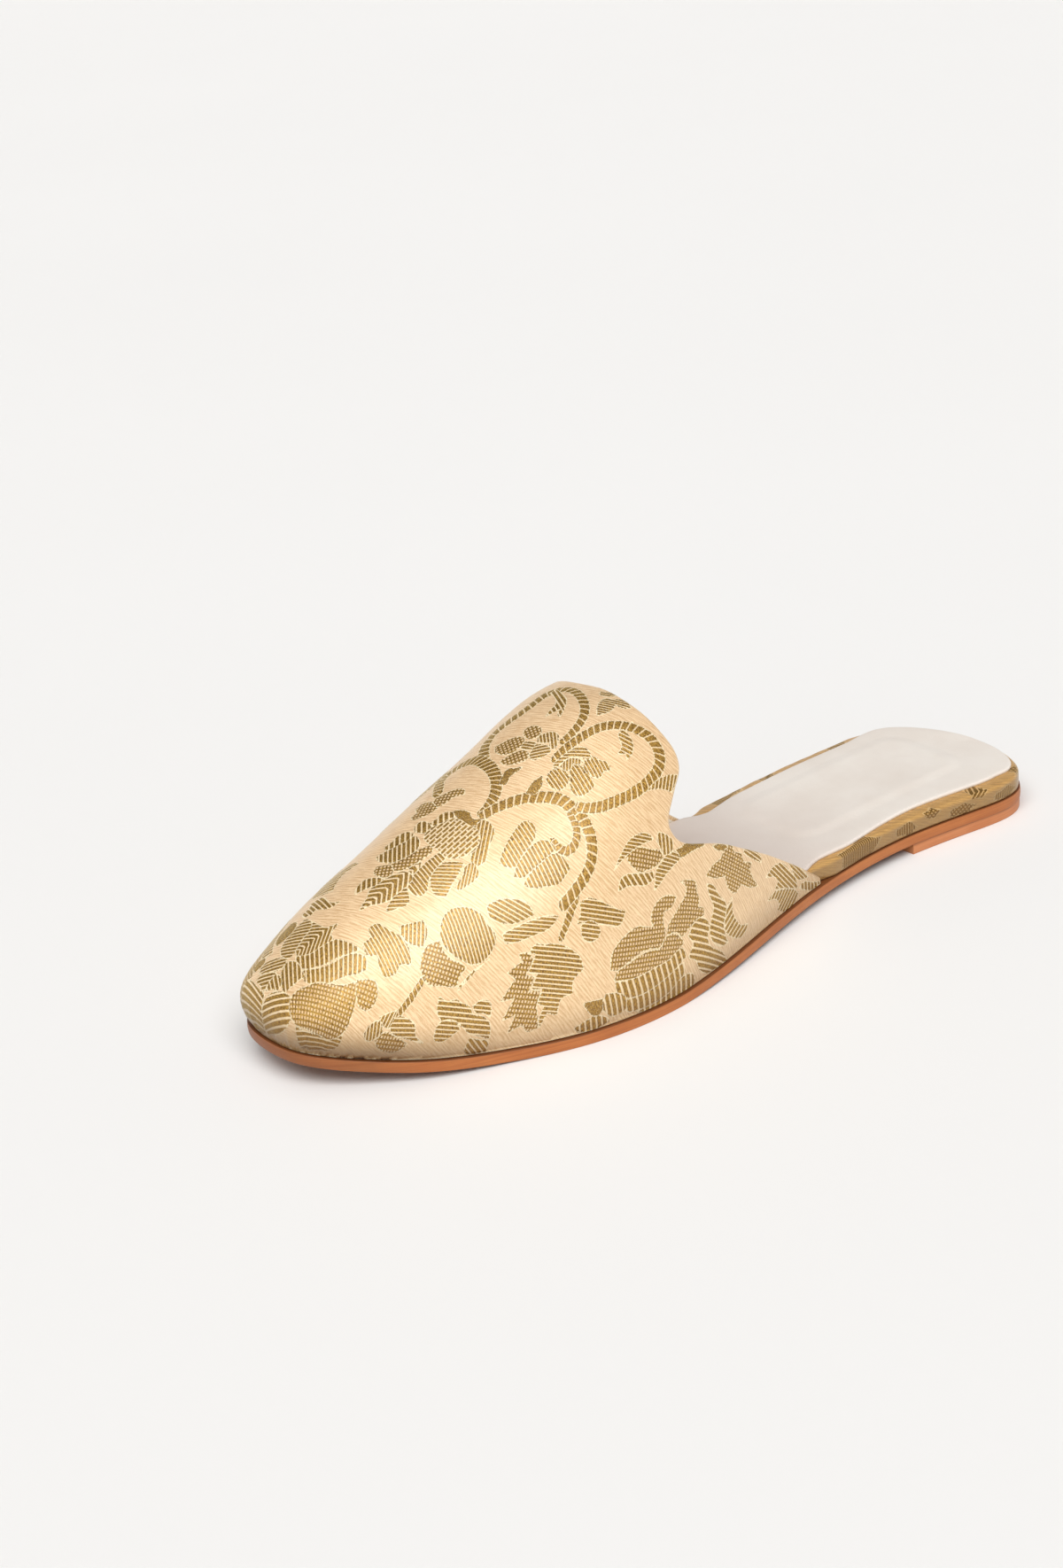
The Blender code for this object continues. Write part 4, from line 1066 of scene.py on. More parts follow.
def add_brocade_upper(form, material):
    """The outer brocade, turned over the topline and tucked under the feather edge."""
    top = topline_edge(form)
    foot = Edge(form, feather_flat(form, EDGE_STEPS), -1)
    shapes = all_shapes()
    outlines = [outline_of(shape) for shape in shapes]
    flat, faces, owner = woven_cloth(top, foot, outlines)
    lay, kind = cut_weave(shapes, outlines, faces, owner, flat)
    relief = np.zeros(len(flat))
    relief[faces.ravel()] = RELIEF * smooth_step(lay[:, 2], 0.0, RELIEF_EDGE_MM)
    points = form.place(flat, -relief - lasting_ripples(form, flat))
    flat, points, turned = add_rows(top, turned_rows, flat, points)
    flat, points, tucked = add_rows(foot, tucked_rows, flat, points)
    strips = turned + tucked
    strip_lay, strip_kind = laid_weave(shapes, outlines, strips, flat)
    upper = mesh_object("upper_brocade", points, list(faces) + strips, material)
    # Painted shade: the cloth is darkened low on the wall, most round the toe.
    level = (points[:, 2] - underside(points[:, 1]) - SOLE_THICKNESS) / MM
    toe = 1 - smooth_step(flat[:, 1], *TOE_SHADE_MM)
    strength = FOOT_SHADE_DEPTH[0] + (FOOT_SHADE_DEPTH[1] - FOOT_SHADE_DEPTH[0]) * toe
    lay, kind = np.concatenate((lay, strip_lay)), np.concatenate((kind, strip_kind))
    corners = paint(upper.data, lay, kind, flat, level, strength)
    layer = upper.data.uv_layers.new(name="OFBake")
    uv = (flat + UV_START_MM) / UV_SPAN_MM
    layer.data.foreach_set("uv", uv[corners].astype(np.float32).ravel())
    return upper, top, foot


RIPPLE_RISE = 0.00022
RIPPLE_END_MM = (18, 48)   # along the shoe, the ripples die away between these
RIPPLE_FADE_MM = 5.0       # and up the wall over this distance,
RIPPLE_START_MM = 2.0      # after they have grown over this one
RIPPLE_CENTRE_MM = 40      # they run out from this place on the ridge
RIPPLE_COUNTS = (34, 57)   # waves in each turn round it, in two sets,
RIPPLE_SECOND = 0.6        # the second one this much weaker
RIPPLE_SHIFT = 1.3


def lasting_ripples(form, flat):
    """Soft ripples where the cloth is drawn round the toe, fading up from the feather edge."""
    half = np.interp(flat[:, 1], form.alongs[::-1], form.halves[::-1])
    up = half - np.abs(flat[:, 0])
    toe = 1 - smooth_step(flat[:, 1], *RIPPLE_END_MM)
    fade = np.exp(-up / RIPPLE_FADE_MM) * smooth_step(up, 0, RIPPLE_START_MM)
    angle = np.arctan2(flat[:, 0], RIPPLE_CENTRE_MM - flat[:, 1])
    first, second = (angle * count for count in RIPPLE_COUNTS)
    waves = np.sin(first) + RIPPLE_SECOND * np.sin(second + RIPPLE_SHIFT)
    return RIPPLE_RISE * toe * fade * waves


LINING_RINGS = 40
LINING_COLUMNS = 260
LINING_EDGE_MM = 0.5       # the lining starts this far down inside the topline
LINING_LIP = 0.0003        # its edge is tucked this far behind the turned brocade
LINING_LIP_SHARE = 0.008   # and comes out over this share of the way down


def add_lining(form, top, foot, material):
    """The inner face of the upper, from just under the turned brocade to the footbed."""
    at = np.linspace(0, EDGE_STEPS - 1, LINING_COLUMNS)
    upper_edge = top.read(top.flat - LINING_EDGE_MM * top.outward, at)
    lower_edge = foot.read(foot.flat, at)
    depth = UPPER_WALL + LINING_SINK
    rows = [(0.0, UPPER_WALL - LINING_LIP), (LINING_LIP_SHARE, depth)]
    rows += [(k / LINING_RINGS, depth) for k in range(1, LINING_RINGS + 1)]
    vertices = [form.place(upper_edge * (1 - share) + lower_edge * share, sunk) for share, sunk in rows]
    grid = np.arange(len(rows) * LINING_COLUMNS).reshape(len(rows), -1)
    faces = []
    for near, far in zip(grid, grid[1:]):
        faces += zip(near, near[1:], far[1:], far)
    return mesh_object("upper_lining", np.concatenate(vertices), faces, material)


# ---------------------------------------------------------------- plates that follow the outline
PLATE_TURNS = 260          # steps along each side of the outline


def loop_points(inset, height, turns):
    """A closed ring round the outline, lateral side heel to toe, then medial side back."""
    ring = []
    for side, order in (("lateral", turns), ("medial", turns[-2:0:-1])):
        for turn in order:
            edge, inward = edge_and_inward(side, turn)
            x, y = edge + inward * inset(side, station_of(turn))
            ring.append((x, y, underside(y) + height))
    return np.array(ring)


def walled(rings):
    """Vertices of a stack of rings and the faces of its wall."""
    count = len(rings[0])
    faces = []
    for first in range(0, (len(rings) - 1) * count, count):
        for i in range(count):
            here, after = first + i, first + (i + 1) % count
            faces.append((here, after, after + count, here + count))
    return list(np.concatenate(rings)), faces


def ladder_faces(start, count, upward):
    """Closes a ring with rows across from the lateral to the medial side."""
    half = count // 2
    faces = []
    for i in range(half):
        ring = (start + i, start + i + 1, start + (count - i - 1) % count, start + (count - i) % count)
        ring = tuple(dict.fromkeys(ring))
        faces.append(ring if upward else ring[::-1])
    return faces


def add_plate(name, profile, turns, material):
    """A closed body round the outline; the profile runs from the underside's middle, out
    round the edge and in over the top, as (inset function, height) rows."""
    rings = [loop_points(inset, height, turns) for inset, height in profile]
    count = len(rings[0])
    vertices, wall = walled(rings)
    faces = ladder_faces(0, count, False) + wall + ladder_faces(len(vertices) - count, count, True)
    return mesh_object(name, vertices, faces, material), rings


def arc_profile(inset, level, radius, start, stop, steps):
    """Quarter-round rows; angles from the outward direction, up positive, in degrees."""
    rows = []
    for angle in np.radians(np.linspace(start, stop, steps)):
        shift = radius * (1 - np.cos(angle))
        rows.append((lambda side, share, s=shift: inset(side, share) + s, level + radius * np.sin(angle)))
    return rows


SOLE_EDGE_ROUND = 0.0002
SOLE_EDGE_STEPS = 5
SOLE_BULGE = 0.00012
SOLE_ROWS = (0.006, 0.003)     # insets of the rows that keep the sole's flat faces flat


def flush(side, share):
    return 0.0


def rows_on(base, *rows):
    """Profile rows from pairs of a further inset and a height."""
    return [(lambda side, share, extra=extra: base(side, share) + extra, height) for extra, height in rows]


def add_outsole(material):
    """The outsole, its edge a little rounded at the corners and in the middle."""
    low, high = SOLE_EDGE_ROUND, SOLE_THICKNESS - SOLE_EDGE_ROUND
    profile = rows_on(flush, *[(inset, 0.0) for inset in SOLE_ROWS])
    profile += arc_profile(flush, low, SOLE_EDGE_ROUND, -90, 0, SOLE_EDGE_STEPS)
    profile += rows_on(flush, (-SOLE_BULGE, SOLE_THICKNESS / 2))
    profile += arc_profile(flush, high, SOLE_EDGE_ROUND, 0, 90, SOLE_EDGE_STEPS)
    profile += rows_on(flush, *[(inset, SOLE_THICKNESS) for inset in SOLE_ROWS[::-1]])
    turns = np.linspace(0, np.pi, PLATE_TURNS + 1)
    return add_plate("outsole_leather", profile, turns, material)[0]


RIM_ROUND = 0.0014
RIM_ARC = (8, 78, 8)       # angles in degrees over which its top edge is round, and its rows
RIM_TURNS = 520
RIM_SWELL = 0.00085
RIM_LIFT = 0.0001          # its underside lies this far over the outsole, its top over the board

# Rows of the rim's profile: inset and height over the outsole; shares of the swell and of the
# pleats, and height; inset and depth below the top.
RIM_BASE_ROWS = ((0.008, RIM_LIFT), (0.0006, RIM_LIFT), (-0.6 * RIM_SWELL, 0.0003))
RIM_WALL_ROWS = ((0.9, 0.6, 0.0008), (1.0, 1.0, 0.0020))
RIM_TOP_ROWS = ((0.0008, 0.00002), (0.003, 0.0003), (0.008, 0.0004))
RIM_FOOT_ROW = 2           # profile row at the foot of the rim's wall
RIM_OUTER_ROW = 4          # and the one furthest out
RIM_SIDE_TURN = 5          # the strip's height is read at this place along the side

# The rim's edges; places along the shoe are stations.
WRAP_TUCK = (0.335, 0.366)     # where the wrap passes in under the upper
SOCK_INSET = 0.0011        # the rim shows this wide round the sock,
SOCK_SPREAD = 0.0030       # this much wider on the lateral side
SPREAD_REACH = ((0.02, 0.07), (0.17, 0.32))    # where it widens and narrows again
SOCK_SHORT = 0.0025        # and a little wider on the medial side
SHORT_REACH = (0.05, 0.12)
PLEAT_DEPTH = 0.00022
PLEAT_WAVES_MM = ((1.3, 7.9), (2.7, 13.0))     # two sets of folds, each coming and going
PLEAT_SHIFT = 1.7
MEDIAL_PHASE = 1.1


def rim_edge(side, share):
    return HEEL_RIM_INSET + (FORE_RIM_INSET - HEEL_RIM_INSET) * smooth_step(share, *WRAP_TUCK)


def sock_edge(side, share):
    """Inset of the sock from the outsole's edge in the open heel."""
    if side == "medial":
        return rim_inset(share) + SOCK_INSET + SOCK_SHORT * smooth_step(share, *SHORT_REACH)
    widen, narrow = SPREAD_REACH
    wide = SOCK_SPREAD * smooth_step(share, *widen) * (1 - smooth_step(share, *narrow))
    return rim_inset(share) + SOCK_INSET + wide


def pleats(distance, phase):
    """Little folds of the rim's cloth, -1 to 1."""
    (fine, fine_fade), (broad, broad_fade) = PLEAT_WAVES_MM
    first = np.sin(distance / fine + phase) * np.sin(distance / fine_fade + 2 * phase)
    second = np.sin(distance / broad + PLEAT_SHIFT) * np.sin(distance / broad_fade)
    return (first + second) / 2


def rim_wall(swell, depth):
    """Inset of the rim's wall, swollen by a share of its swell, with folds of a share of their depth."""
    def inset(side, share):
        phase = 0.0 if side == "lateral" else MEDIAL_PHASE
        fold = PLEAT_DEPTH * depth * (pleats(share * LENGTH / MM, phase) + 1)
        return rim_edge(side, share) - RIM_SWELL * swell + fold
    return inset


def add_rim(material):
    """The brocade wrapped round the footbed: closed body with a plump, slightly pleated edge."""
    base = SOLE_THICKNESS
    top = base + GAP + FOOTBED_THICKNESS + RIM_LIFT
    profile = rows_on(rim_edge, *[(inset, base + rise) for inset, rise in RIM_BASE_ROWS])
    profile += [(rim_wall(swell, depth), base + rise) for swell, depth, rise in RIM_WALL_ROWS]
    profile += arc_profile(rim_wall(1.0, 1.0), top - RIM_ROUND, RIM_ROUND, *RIM_ARC)
    profile += rows_on(sock_edge, *[(inset, top - drop) for inset, drop in RIM_TOP_ROWS])
    turns = np.linspace(0, np.pi, RIM_TURNS + 1)
    made, rings = add_plate("footbed_brocade_wrap", profile, turns, material)
    paint_rim(made.data, rings)
    return made


# Woven patches on the rim's strip, in millimetres: the middle is the distance from the heel back,
# medial positive, and the level the height above the rim's foot.
RimPatch = namedtuple("RimPatch", "weave angle pitch middle length level height")
RIM_PATCHES = [RimPatch(*row) for row in (
    ("rib", 88, 0.8, -97, 22, 3.0, 8.0),
    ("rib", 88, 0.9, -78, 11, 2.2, 4.0),
    ("check", 35, 1.05, -68, 7, 4.0, 3.4),
    ("check", 30, 1.05, -57, 12, 1.6, 3.6),
    ("rib", 35, 1.0, -50, 7, 5.2, 4.6),
    ("rib", 80, 0.9, -40, 13, 1.8, 3.6),
    ("check", 30, 1.05, -29, 6, 5.4, 3.4),
    ("solid", 10, 0.8, -24, 5, 3.0, 4.4),
    ("rib", 84, 0.8, -12, 18, 2.8, 6.0),
    ("check", 45, 1.05, 4, 10, 3.0, 5.0),
    ("rib", -70, 0.9, 19, 12, 3.6, 5.4),
    ("check", -20, 1.05, 34, 10, 2.6, 4.8),
    ("rib", -60, 1.0, 50, 12, 4.4, 5.0),
    ("rib", -85, 0.9, 66, 10, 2.6, 4.6),
    ("check", 15, 1.05, 80, 9, 4.4, 5.2),
    ("rib", -80, 0.8, 98, 20, 3.6, 7.0),
)]
PATCH_POINTS = 10
PATCH_DENT = 0.68          # every second point of a patch lies this share of the way out


def patch_shape(patch):
    """A ragged leaf-like patch on the rim's strip."""
    turns = 2 * np.pi * np.arange(PATCH_POINTS) / PATCH_POINTS
    out = np.where(np.arange(PATCH_POINTS) % 2 == 0, 1.0, PATCH_DENT) / 2
    across = patch.middle + patch.length * out * np.cos(turns)
    up = patch.level + patch.height * out * np.sin(turns)
    return Shape(patch.weave, patch.angle, patch.pitch, tuple(zip(across, up)))


def rim_strip(rings):
    """Place on the rim's strip of each vertex: the distance round from the heel back and the
    height above the rim's foot, in millimetres."""
    outer = rings[RIM_OUTER_ROW]
    runs = chord_knots(np.concatenate((outer, outer[:1])))
    around = runs[:-1].copy()
    around[around > runs[-1] / 2] -= runs[-1]
    across = chord_knots(np.array([ring[RIM_SIDE_TURN] for ring in rings])) / MM
    across -= across[RIM_FOOT_ROW]
    return np.column_stack((np.tile(-around / MM, len(rings)), np.repeat(across, len(outer))))


def paint_rim(mesh, rings):
    """Gives the rim's corners their weave, and painted shade on its wall."""
    strip = rim_strip(rings)
    shapes = [patch_shape(patch) for patch in RIM_PATCHES]
    outlines = [outline_of(shape) for shape in shapes]
    faces = [tuple(face.vertices) for face in mesh.polygons]
    lay, kind = laid_weave(shapes, outlines, faces, strip)
    # Painted shade: the rim's wall is darkened below its top.
    paint(mesh, lay, kind, strip, strip[:, 1], np.full(len(strip), RIM_SHADE_DEPTH))


# ---------------------------------------------------------------- sock
SOCK_TURNS = 330
SOCK_COLUMNS = 96
SOCK_ROUND = 0.0007
PAD_MIDDLE = (-0.003, 0.078)
PAD_HALF = (0.0155, 0.034)
PAD_CORNER = 0.007
PAD_SLOPE = 0.0025
PAD_RISE = 0.0006
SOCK_THICKNESS = 0.0010
SOCK_SINK = 0.0001         # its underside lies this far below the board's top
SOCK_BASE_ROWS = (0.004, 0.0002)
SOCK_ARC = (0, 80, 6)      # angles in degrees over which its edge is round, and its rows
SOCK_TUCK = (0.352, 0.385)     # where the sock's edge passes from the rim to the lining
SOCK_LEAST_INSET = 0.0027
REACH_TURNS = 120
WING_CLEAR = 0.001         # share of the length past the wing's end before the lining is followed
TIP_REACH = 0.03           # turn short of the toe tip in which the sock's edge keeps its inset
CROWN_RISE = 0.00018       # the sock bulges up behind its edge,
CROWN_EDGE = 0.0015        # over this distance,
CROWN_SINK = 0.00035       # and sinks a little
CROWN_REACH = (0.004, 0.02)    # between these distances from it


def sock_reach():
    """Inset of the sock's edge: on the rim in the open heel, against the lining further on."""
    turns = np.linspace(0, np.pi, REACH_TURNS)
    table = {}
    for side in ("lateral", "medial"):
        insets = []
        for turn in turns:
            share = station_of(turn)
            loose = sock_edge(side, share)
            if share <= SECTIONS[0].station + WING_CLEAR or turn > np.pi - TIP_REACH:
                insets.append(loose if share < 0.5 else insets[-1])
                continue
            curve = section_curve(turn)
            if side == "medial":
                curve = curve[::-1]
            level = underside(curve[0][1]) + SOLE_THICKNESS + FOOTBED_THICKNESS + 3 * GAP
            k = int(np.argmax(curve[:, 2] > level))
            edge, inward = edge_and_inward(side, turn)
            wall = (curve[k, :2] - edge) @ inward + UPPER_WALL + LINING_SINK
            tucked = smooth_step(share, *SOCK_TUCK)
            insets.append(loose * (1 - tucked) + max(wall, SOCK_LEAST_INSET) * tucked)
        table[side] = (turns, np.array(insets))
    return lambda side, share: float(np.interp(turn_of(share), *table[side]))


def pad_height(x, y):
    """The soft rounded-rectangle cushion pressed up under the heel of the sock."""
    dx = np.abs(x - PAD_MIDDLE[0]) - PAD_HALF[0] + PAD_CORNER
    dy = np.abs(y - PAD_MIDDLE[1]) - PAD_HALF[1] + PAD_CORNER
    outside = np.hypot(np.maximum(dx, 0), np.maximum(dy, 0)) + np.minimum(np.maximum(dx, dy), 0)
    distance = outside - PAD_CORNER
    return PAD_RISE * (1 - smooth_step(distance, -PAD_SLOPE, PAD_SLOPE))


def sock_crown(near):
    """Height of the sock's top over its edge, at a distance in from the edge."""
    return CROWN_RISE * (1 - np.exp(-near / CROWN_EDGE)) - CROWN_SINK * smooth_step(near, *CROWN_REACH)


def sock_rows(edge, start, top, vertices):
    """Rows of vertices across the sock's top, joined to the ring at its edge; adds the new ones."""
    count = len(edge)
    rows = [[start]]
    for i in range(1, count // 2):
        first, last = edge[i], edge[count - i]
        width = np.linalg.norm(last - first)
        row = [start + i]
        for share in np.arange(1, SOCK_COLUMNS) / SOCK_COLUMNS:
            x, y = first[:2] * (1 - share) + last[:2] * share
            crown = sock_crown(min(share, 1 - share) * width)
            row.append(len(vertices))
            vertices.append((x, y, underside(y) + top + crown + pad_height(x, y)))
        rows.append(row + [start + count - i])
    return rows + [[start + count // 2]]


def add_sock(material):
    """The sock: a thin closed body with a rounded edge and a padded top."""
    base = SOLE_THICKNESS + GAP + FOOTBED_THICKNESS
    top = base + GAP + SOCK_THICKNESS
    reach = sock_reach()
    profile = rows_on(reach, *[(inset, base - SOCK_SINK) for inset in SOCK_BASE_ROWS])
    profile += arc_profile(reach, top - SOCK_ROUND, SOCK_ROUND, *SOCK_ARC)
    turns = np.linspace(0, np.pi, SOCK_TURNS + 1)
    rings = [loop_points(inset, height, turns) for inset, height in profile]
    count = len(rings[0])
    vertices, wall = walled(rings)
    rows = sock_rows(rings[-1], len(vertices) - count, top, vertices)
    faces = ladder_faces(0, count, False) + wall
    for near, far in zip(rows, rows[1:]):
        faces += bridge(near, far)
    return mesh_object("insole_sock_leather", vertices, faces, material)


def bridge(near, far):
    """Faces between two rows; a row of one vertex is a point."""
    if len(near) == 1:
        return [(near[0], here, after) for here, after in zip(far, far[1:])]
    if len(far) == 1:
        return [(here, far[0], after) for here, after in zip(near, near[1:])]
    return list(zip(near, far, far[1:], near[1:]))


# ---------------------------------------------------------------- heel lift
LIFT_TURNS = 90
LIFT_ROUND = 0.0002
LIFT_CORNER = 0.3 * LIFT_ROUND
LIFT_BULGE = 0.0001
LIFT_DROP = 0.00002        # its top stays this far below the sole
LIFT_CREASE = 0.00006      # and has a fine crease under it
LIFT_FLAT_INSET = 0.004
SHARP_EDGE = 0.7           # radians


def add_lift(material):
    """The low heel piece with its straight breast."""
    turns = np.linspace(0, turn_of(BREAST_STATION), LIFT_TURNS)
    top = HEEL_HEIGHT - LIFT_DROP
    profile = [(LIFT_FLAT_INSET, 0.0), (LIFT_ROUND, 0.0), (LIFT_CORNER, LIFT_CORNER),
               (0.0, LIFT_ROUND), (-LIFT_BULGE, top / 2), (0.0, top - LIFT_CREASE), (LIFT_BULGE, top)]
    breast = LENGTH * (0.5 - BREAST_STATION)
    rings = []
    for shift, height in profile:
        ring = []
        for side, order in (("lateral", turns[::-1]), ("medial", turns[1:])):
            for turn in order:
                edge, inward = edge_and_inward(side, turn)
                x, y = edge + inward * (LIFT_INSET + shift)
                ring.append((x, max(y, breast + max(shift, 0) / 2), height))
        rings.append(ring)
    vertices, wall = walled(rings)
    count = len(rings[0])
    faces = [tuple(range(count))[::-1]] + wall + [tuple(range(len(vertices) - count, len(vertices)))]
    made = mesh_object("heel_lift_leather", vertices, faces, material)
    made.data.set_sharp_from_angle(angle=SHARP_EDGE)
    return made


# ---------------------------------------------------------------- materials
class Finish:
    """Builds a procedural material; values are sockets or constants."""

    def __init__(self, name):
        self.material = bpy.data.materials.new(name)
        self.material.use_nodes = True
        self.tree = self.material.node_tree
        self.shader = self.tree.nodes["Principled BSDF"]

    def put(self, socket, value):
        if isinstance(value, bpy.types.NodeSocket):
            self.tree.links.new(value, socket)
        else:
            socket.default_value = value

    def node(self, kind, inputs=(), **settings):
        made = self.tree.nodes.new(kind)
        for key, value in settings.items():
            setattr(made, key, value)
        for key, value in dict(inputs).items():
            self.put(made.inputs[key], value)
        return made

    def attribute(self, name, output="Vector"):
        return self.node("ShaderNodeAttribute", attribute_name=name).outputs[output]

    def place(self):
        return self.node("ShaderNodeTexCoord").outputs["Object"]

    def split(self, vector):
        return self.node("ShaderNodeSeparateXYZ", {0: vector}).outputs

    def join(self, x, y):
        return self.node("ShaderNodeCombineXYZ", {0: x, 1: y}).outputs[0]

    def math(self, operation, *values):
        return self.node("ShaderNodeMath", enumerate(values), operation=operation).outputs[0]

    def plus(self, first, second):
        return self.math("ADD", first, second)

    def less(self, first, second):
        return self.math("SUBTRACT", first, second)

    def times(self, first, second):
        return self.math("MULTIPLY", first, second)

    def scaled(self, value, factor, added):
        """The value times the factor, and the added one."""
        return self.math("MULTIPLY_ADD", value, factor, added)

    def wave(self, value):
        """Sine of a value given in whole turns."""
        return self.math("SINE", self.times(value, 2 * np.pi))

    def step(self, value, low, high, start=0.0, stop=1.0):
        """Smooth change from start to stop as the value goes from low to high."""
        inputs = {"Value": value, "From Min": low, "From Max": high, "To Min": start, "To Max": stop}
        return self.node("ShaderNodeMapRange", inputs, interpolation_type="SMOOTHSTEP").outputs[0]

    def mix(self, share, first, second):
        made = self.node("ShaderNodeMix", data_type="RGBA")
        for index, given in ((0, share), (6, first), (7, second)):
            self.put(made.inputs[index], given)
        return made.outputs[2]

    def noise(self, place, scale, detail=2.0, roughness=0.5):
        inputs = {"Vector": place, "Scale": scale, "Detail": detail, "Roughness": roughness}
        return self.node("ShaderNodeTexNoise", inputs).outputs["Fac"]

    def streaks(self, place, counts, detail=2.0, roughness=0.5):
        """Noise drawn out along the directions with the smaller counts."""
        drawn = self.node("ShaderNodeMapping", {"Vector": place, "Scale": counts}).outputs[0]
        return self.noise(drawn, 1.0, detail, roughness)

    def bump(self, height, distance, strength=1.0):
        inputs = {"Height": height, "Distance": distance, "Strength": strength}
        return self.node("ShaderNodeBump", inputs).outputs[0]

    def finish(self, **sockets):
        for key, value in sockets.items():
            self.put(self.shader.inputs[key.replace("_", " ")], value)
        return self.material


def srgb(red, green, blue):
    """Linear colour from display values 0 to 255."""
    values = np.array([red, green, blue]) / 255
    linear = np.where(values <= 0.04045, values / 12.92, ((values + 0.055) / 1.055) ** 2.4)
    return (*linear.tolist(), 1.0)


Cloth = namedtuple("Cloth", "satin satin_deep thread thread_deep edge")
UPPER_CLOTH = Cloth(srgb(245, 213, 172), srgb(212, 171, 125), srgb(220, 174, 84), srgb(106, 66, 24),
                    srgb(255, 238, 200))
# The rim's tones are the upper's brocade darkened: painted shade for a wall that gets less light from
# above.
SHADED_RIM_CLOTH = Cloth(srgb(208, 162, 98), srgb(176, 132, 78), srgb(176, 132, 64), srgb(112, 74, 30),
                  srgb(222, 184, 128))
FOOT_SHADE = (0.5, 13.0)   # painted shade: the cloth is darker low on the wall, over these heights
FOOT_SHADE_DEPTH = (0.4, 0.95)   # how much darker the painted shade makes it, at the wing and round the toe
# Painted shade on the rim: its wall is darker than its top, below these heights up the strip, by this
# much.
RIM_SHADE = (3.4, 4.9)
RIM_SHADE_DEPTH = 0.62

# Gold thread. A noise is a scale, a detail and a roughness; an edge is the pair of values between
# which a wave, a noise or a depth passes from bare cloth to thread, or back.
RAGGED_NOISE = (1.7, 4.0, 0.75)
RAGGED_MM = 0.9            # how far the weave's edges wander
RIB_NUDGE = 0.35           # and the ribs, in pitches
RIB_EDGE = (-0.72, -0.2)
BAR_WIDER = 0.3            # bars of a vine are wider than ribs
CHECK_EDGE = (-0.5, 0.1)
SPECK_NOISE = (3.4, 1.0)
SPECK_EDGE = (0.3, 0.4)
ROW_EDGE = (-0.2, 0.2)     # every second row of flecks is shifted
DASH_LONGER = 0.45
DASH_EDGE = (-0.6, -0.1)
SHAPE_EDGE_MM = (0.12, 0.26)
HEM_OUTER_MM = (-0.1, 0.02)
HEM_INNER_MM = (0.16, 0.42)
CHECK_GAP_LESS = -0.7      # the satin between checks is less pale
TWIST_COUNTS = (1.1, 6.0, 1.0)
TWIST_RANGE = (0.36, 0.66)

# Satin. Counts are changes a millimetre, across and along the cloth.
SATIN_SLOPE = 0.4          # the satin's lines slant across the cloth
WANDER_COUNTS = (0.12, 0.5, 1.0)
WANDER_MM = 2.0
WALES_PER_MM = 1.15
BREAK_COUNTS = (0.25, 0.9, 1.0)
BREAK_EDGE = (0.3, 0.6)
PICK_COUNTS = (0.4, 3.2, 1.0)
SLUB_COUNTS = (0.22, 1.6, 1.0)
GRAIN_NOISE = (4.5, 2.0, 0.7)
PICK_SHARE, GRAIN_SHARE, SLUB_SHARE, WALE_SHARE = 0.4, 0.35, 0.25, 0.08
SATIN_RANGE = (0.38, 0.60)
HEM_PALE = 0.85
GAP_PALE = 0.45

# Gloss and relief; each pair is for bare satin and for thread.
METAL = (0.08, 0.64)
COAT = (0.5, 0.25)
SATIN_ROUGH = 0.36
SLUB_ROUGHER = 0.16
THREAD_SMOOTHER = -0.13
THREAD_BUMP = 0.00012
BRIGHT_RELIEF, SATIN_RELIEF, TWIST_RELIEF, THREAD_RELIEF = 0.3, 1.3, 0.9, 0.5
CLOTH_GLOSS = {"Specular Tint": srgb(250, 240, 168), "Specular IOR Level": 1.0, "Sheen Weight": 0.05,
               "Sheen Roughness": 0.4, "Coat Roughness": 0.3, "Coat IOR": 1.8}


def thread_kinds(finish, cloth, u, v, bar):
    """Cover of ribs, check, solid thread and flecks at each place, and the ragged noise they share."""
    ragged = finish.less(finish.noise(cloth, *RAGGED_NOISE), 0.5)
    nudge = finish.times(ragged, RIB_NUDGE)
    rib_at = finish.plus(u, nudge)
    ribs = finish.wave(rib_at)
    cross = finish.wave(finish.plus(v, nudge))
    rib = finish.step(finish.scaled(bar, BAR_WIDER, ribs), *RIB_EDGE)
    check = finish.step(finish.math("MINIMUM", ribs, cross), *CHECK_EDGE, 1.0, 0.0)
    solid = finish.step(finish.noise(cloth, *SPECK_NOISE), *SPECK_EDGE)
    row = finish.wave(finish.times(rib_at, 0.5))
    slide = finish.times(finish.step(row, *ROW_EDGE), 0.5)
    link = finish.plus(finish.wave(finish.scaled(v, 0.5, slide)), DASH_LONGER)
    dash = finish.step(finish.math("MINIMUM", ribs, link), *DASH_EDGE)
    return (rib, check, solid, dash), ragged


def thread_cover(finish, cloth):
    """Share of gold thread at each place from the weave each shape carries, the share of bare
    satin showing between threads, and the shape's hem."""
    u, v, depth = finish.split(finish.attribute("lay"))
    kinds = finish.node("ShaderNodeAttribute", attribute_name="weave").outputs
    rib_share, check_share, solid_share = finish.split(kinds["Color"])
    bar = finish.times(rib_share, solid_share)
    (rib, check, solid, dash), ragged = thread_kinds(finish, cloth, u, v, bar)
    cover = finish.times(rib, rib_share)
    only_solid = finish.less(solid_share, bar)
    for kind, share in ((check, check_share), (solid, only_solid), (dash, kinds["Alpha"])):
        cover = finish.scaled(kind, share, cover)
    rim = finish.scaled(ragged, RAGGED_MM * 2, depth)
    inside_shape = finish.step(rim, *SHAPE_EDGE_MM)
    thread = finish.times(cover, inside_shape)
    gap = finish.less(inside_shape, thread)
    gap = finish.times(gap, finish.scaled(check_share, CHECK_GAP_LESS, 1.0))
    hem = finish.times(finish.step(depth, *HEM_OUTER_MM), finish.step(rim, *HEM_INNER_MM, 1.0, 0.0))
    return thread, gap, hem


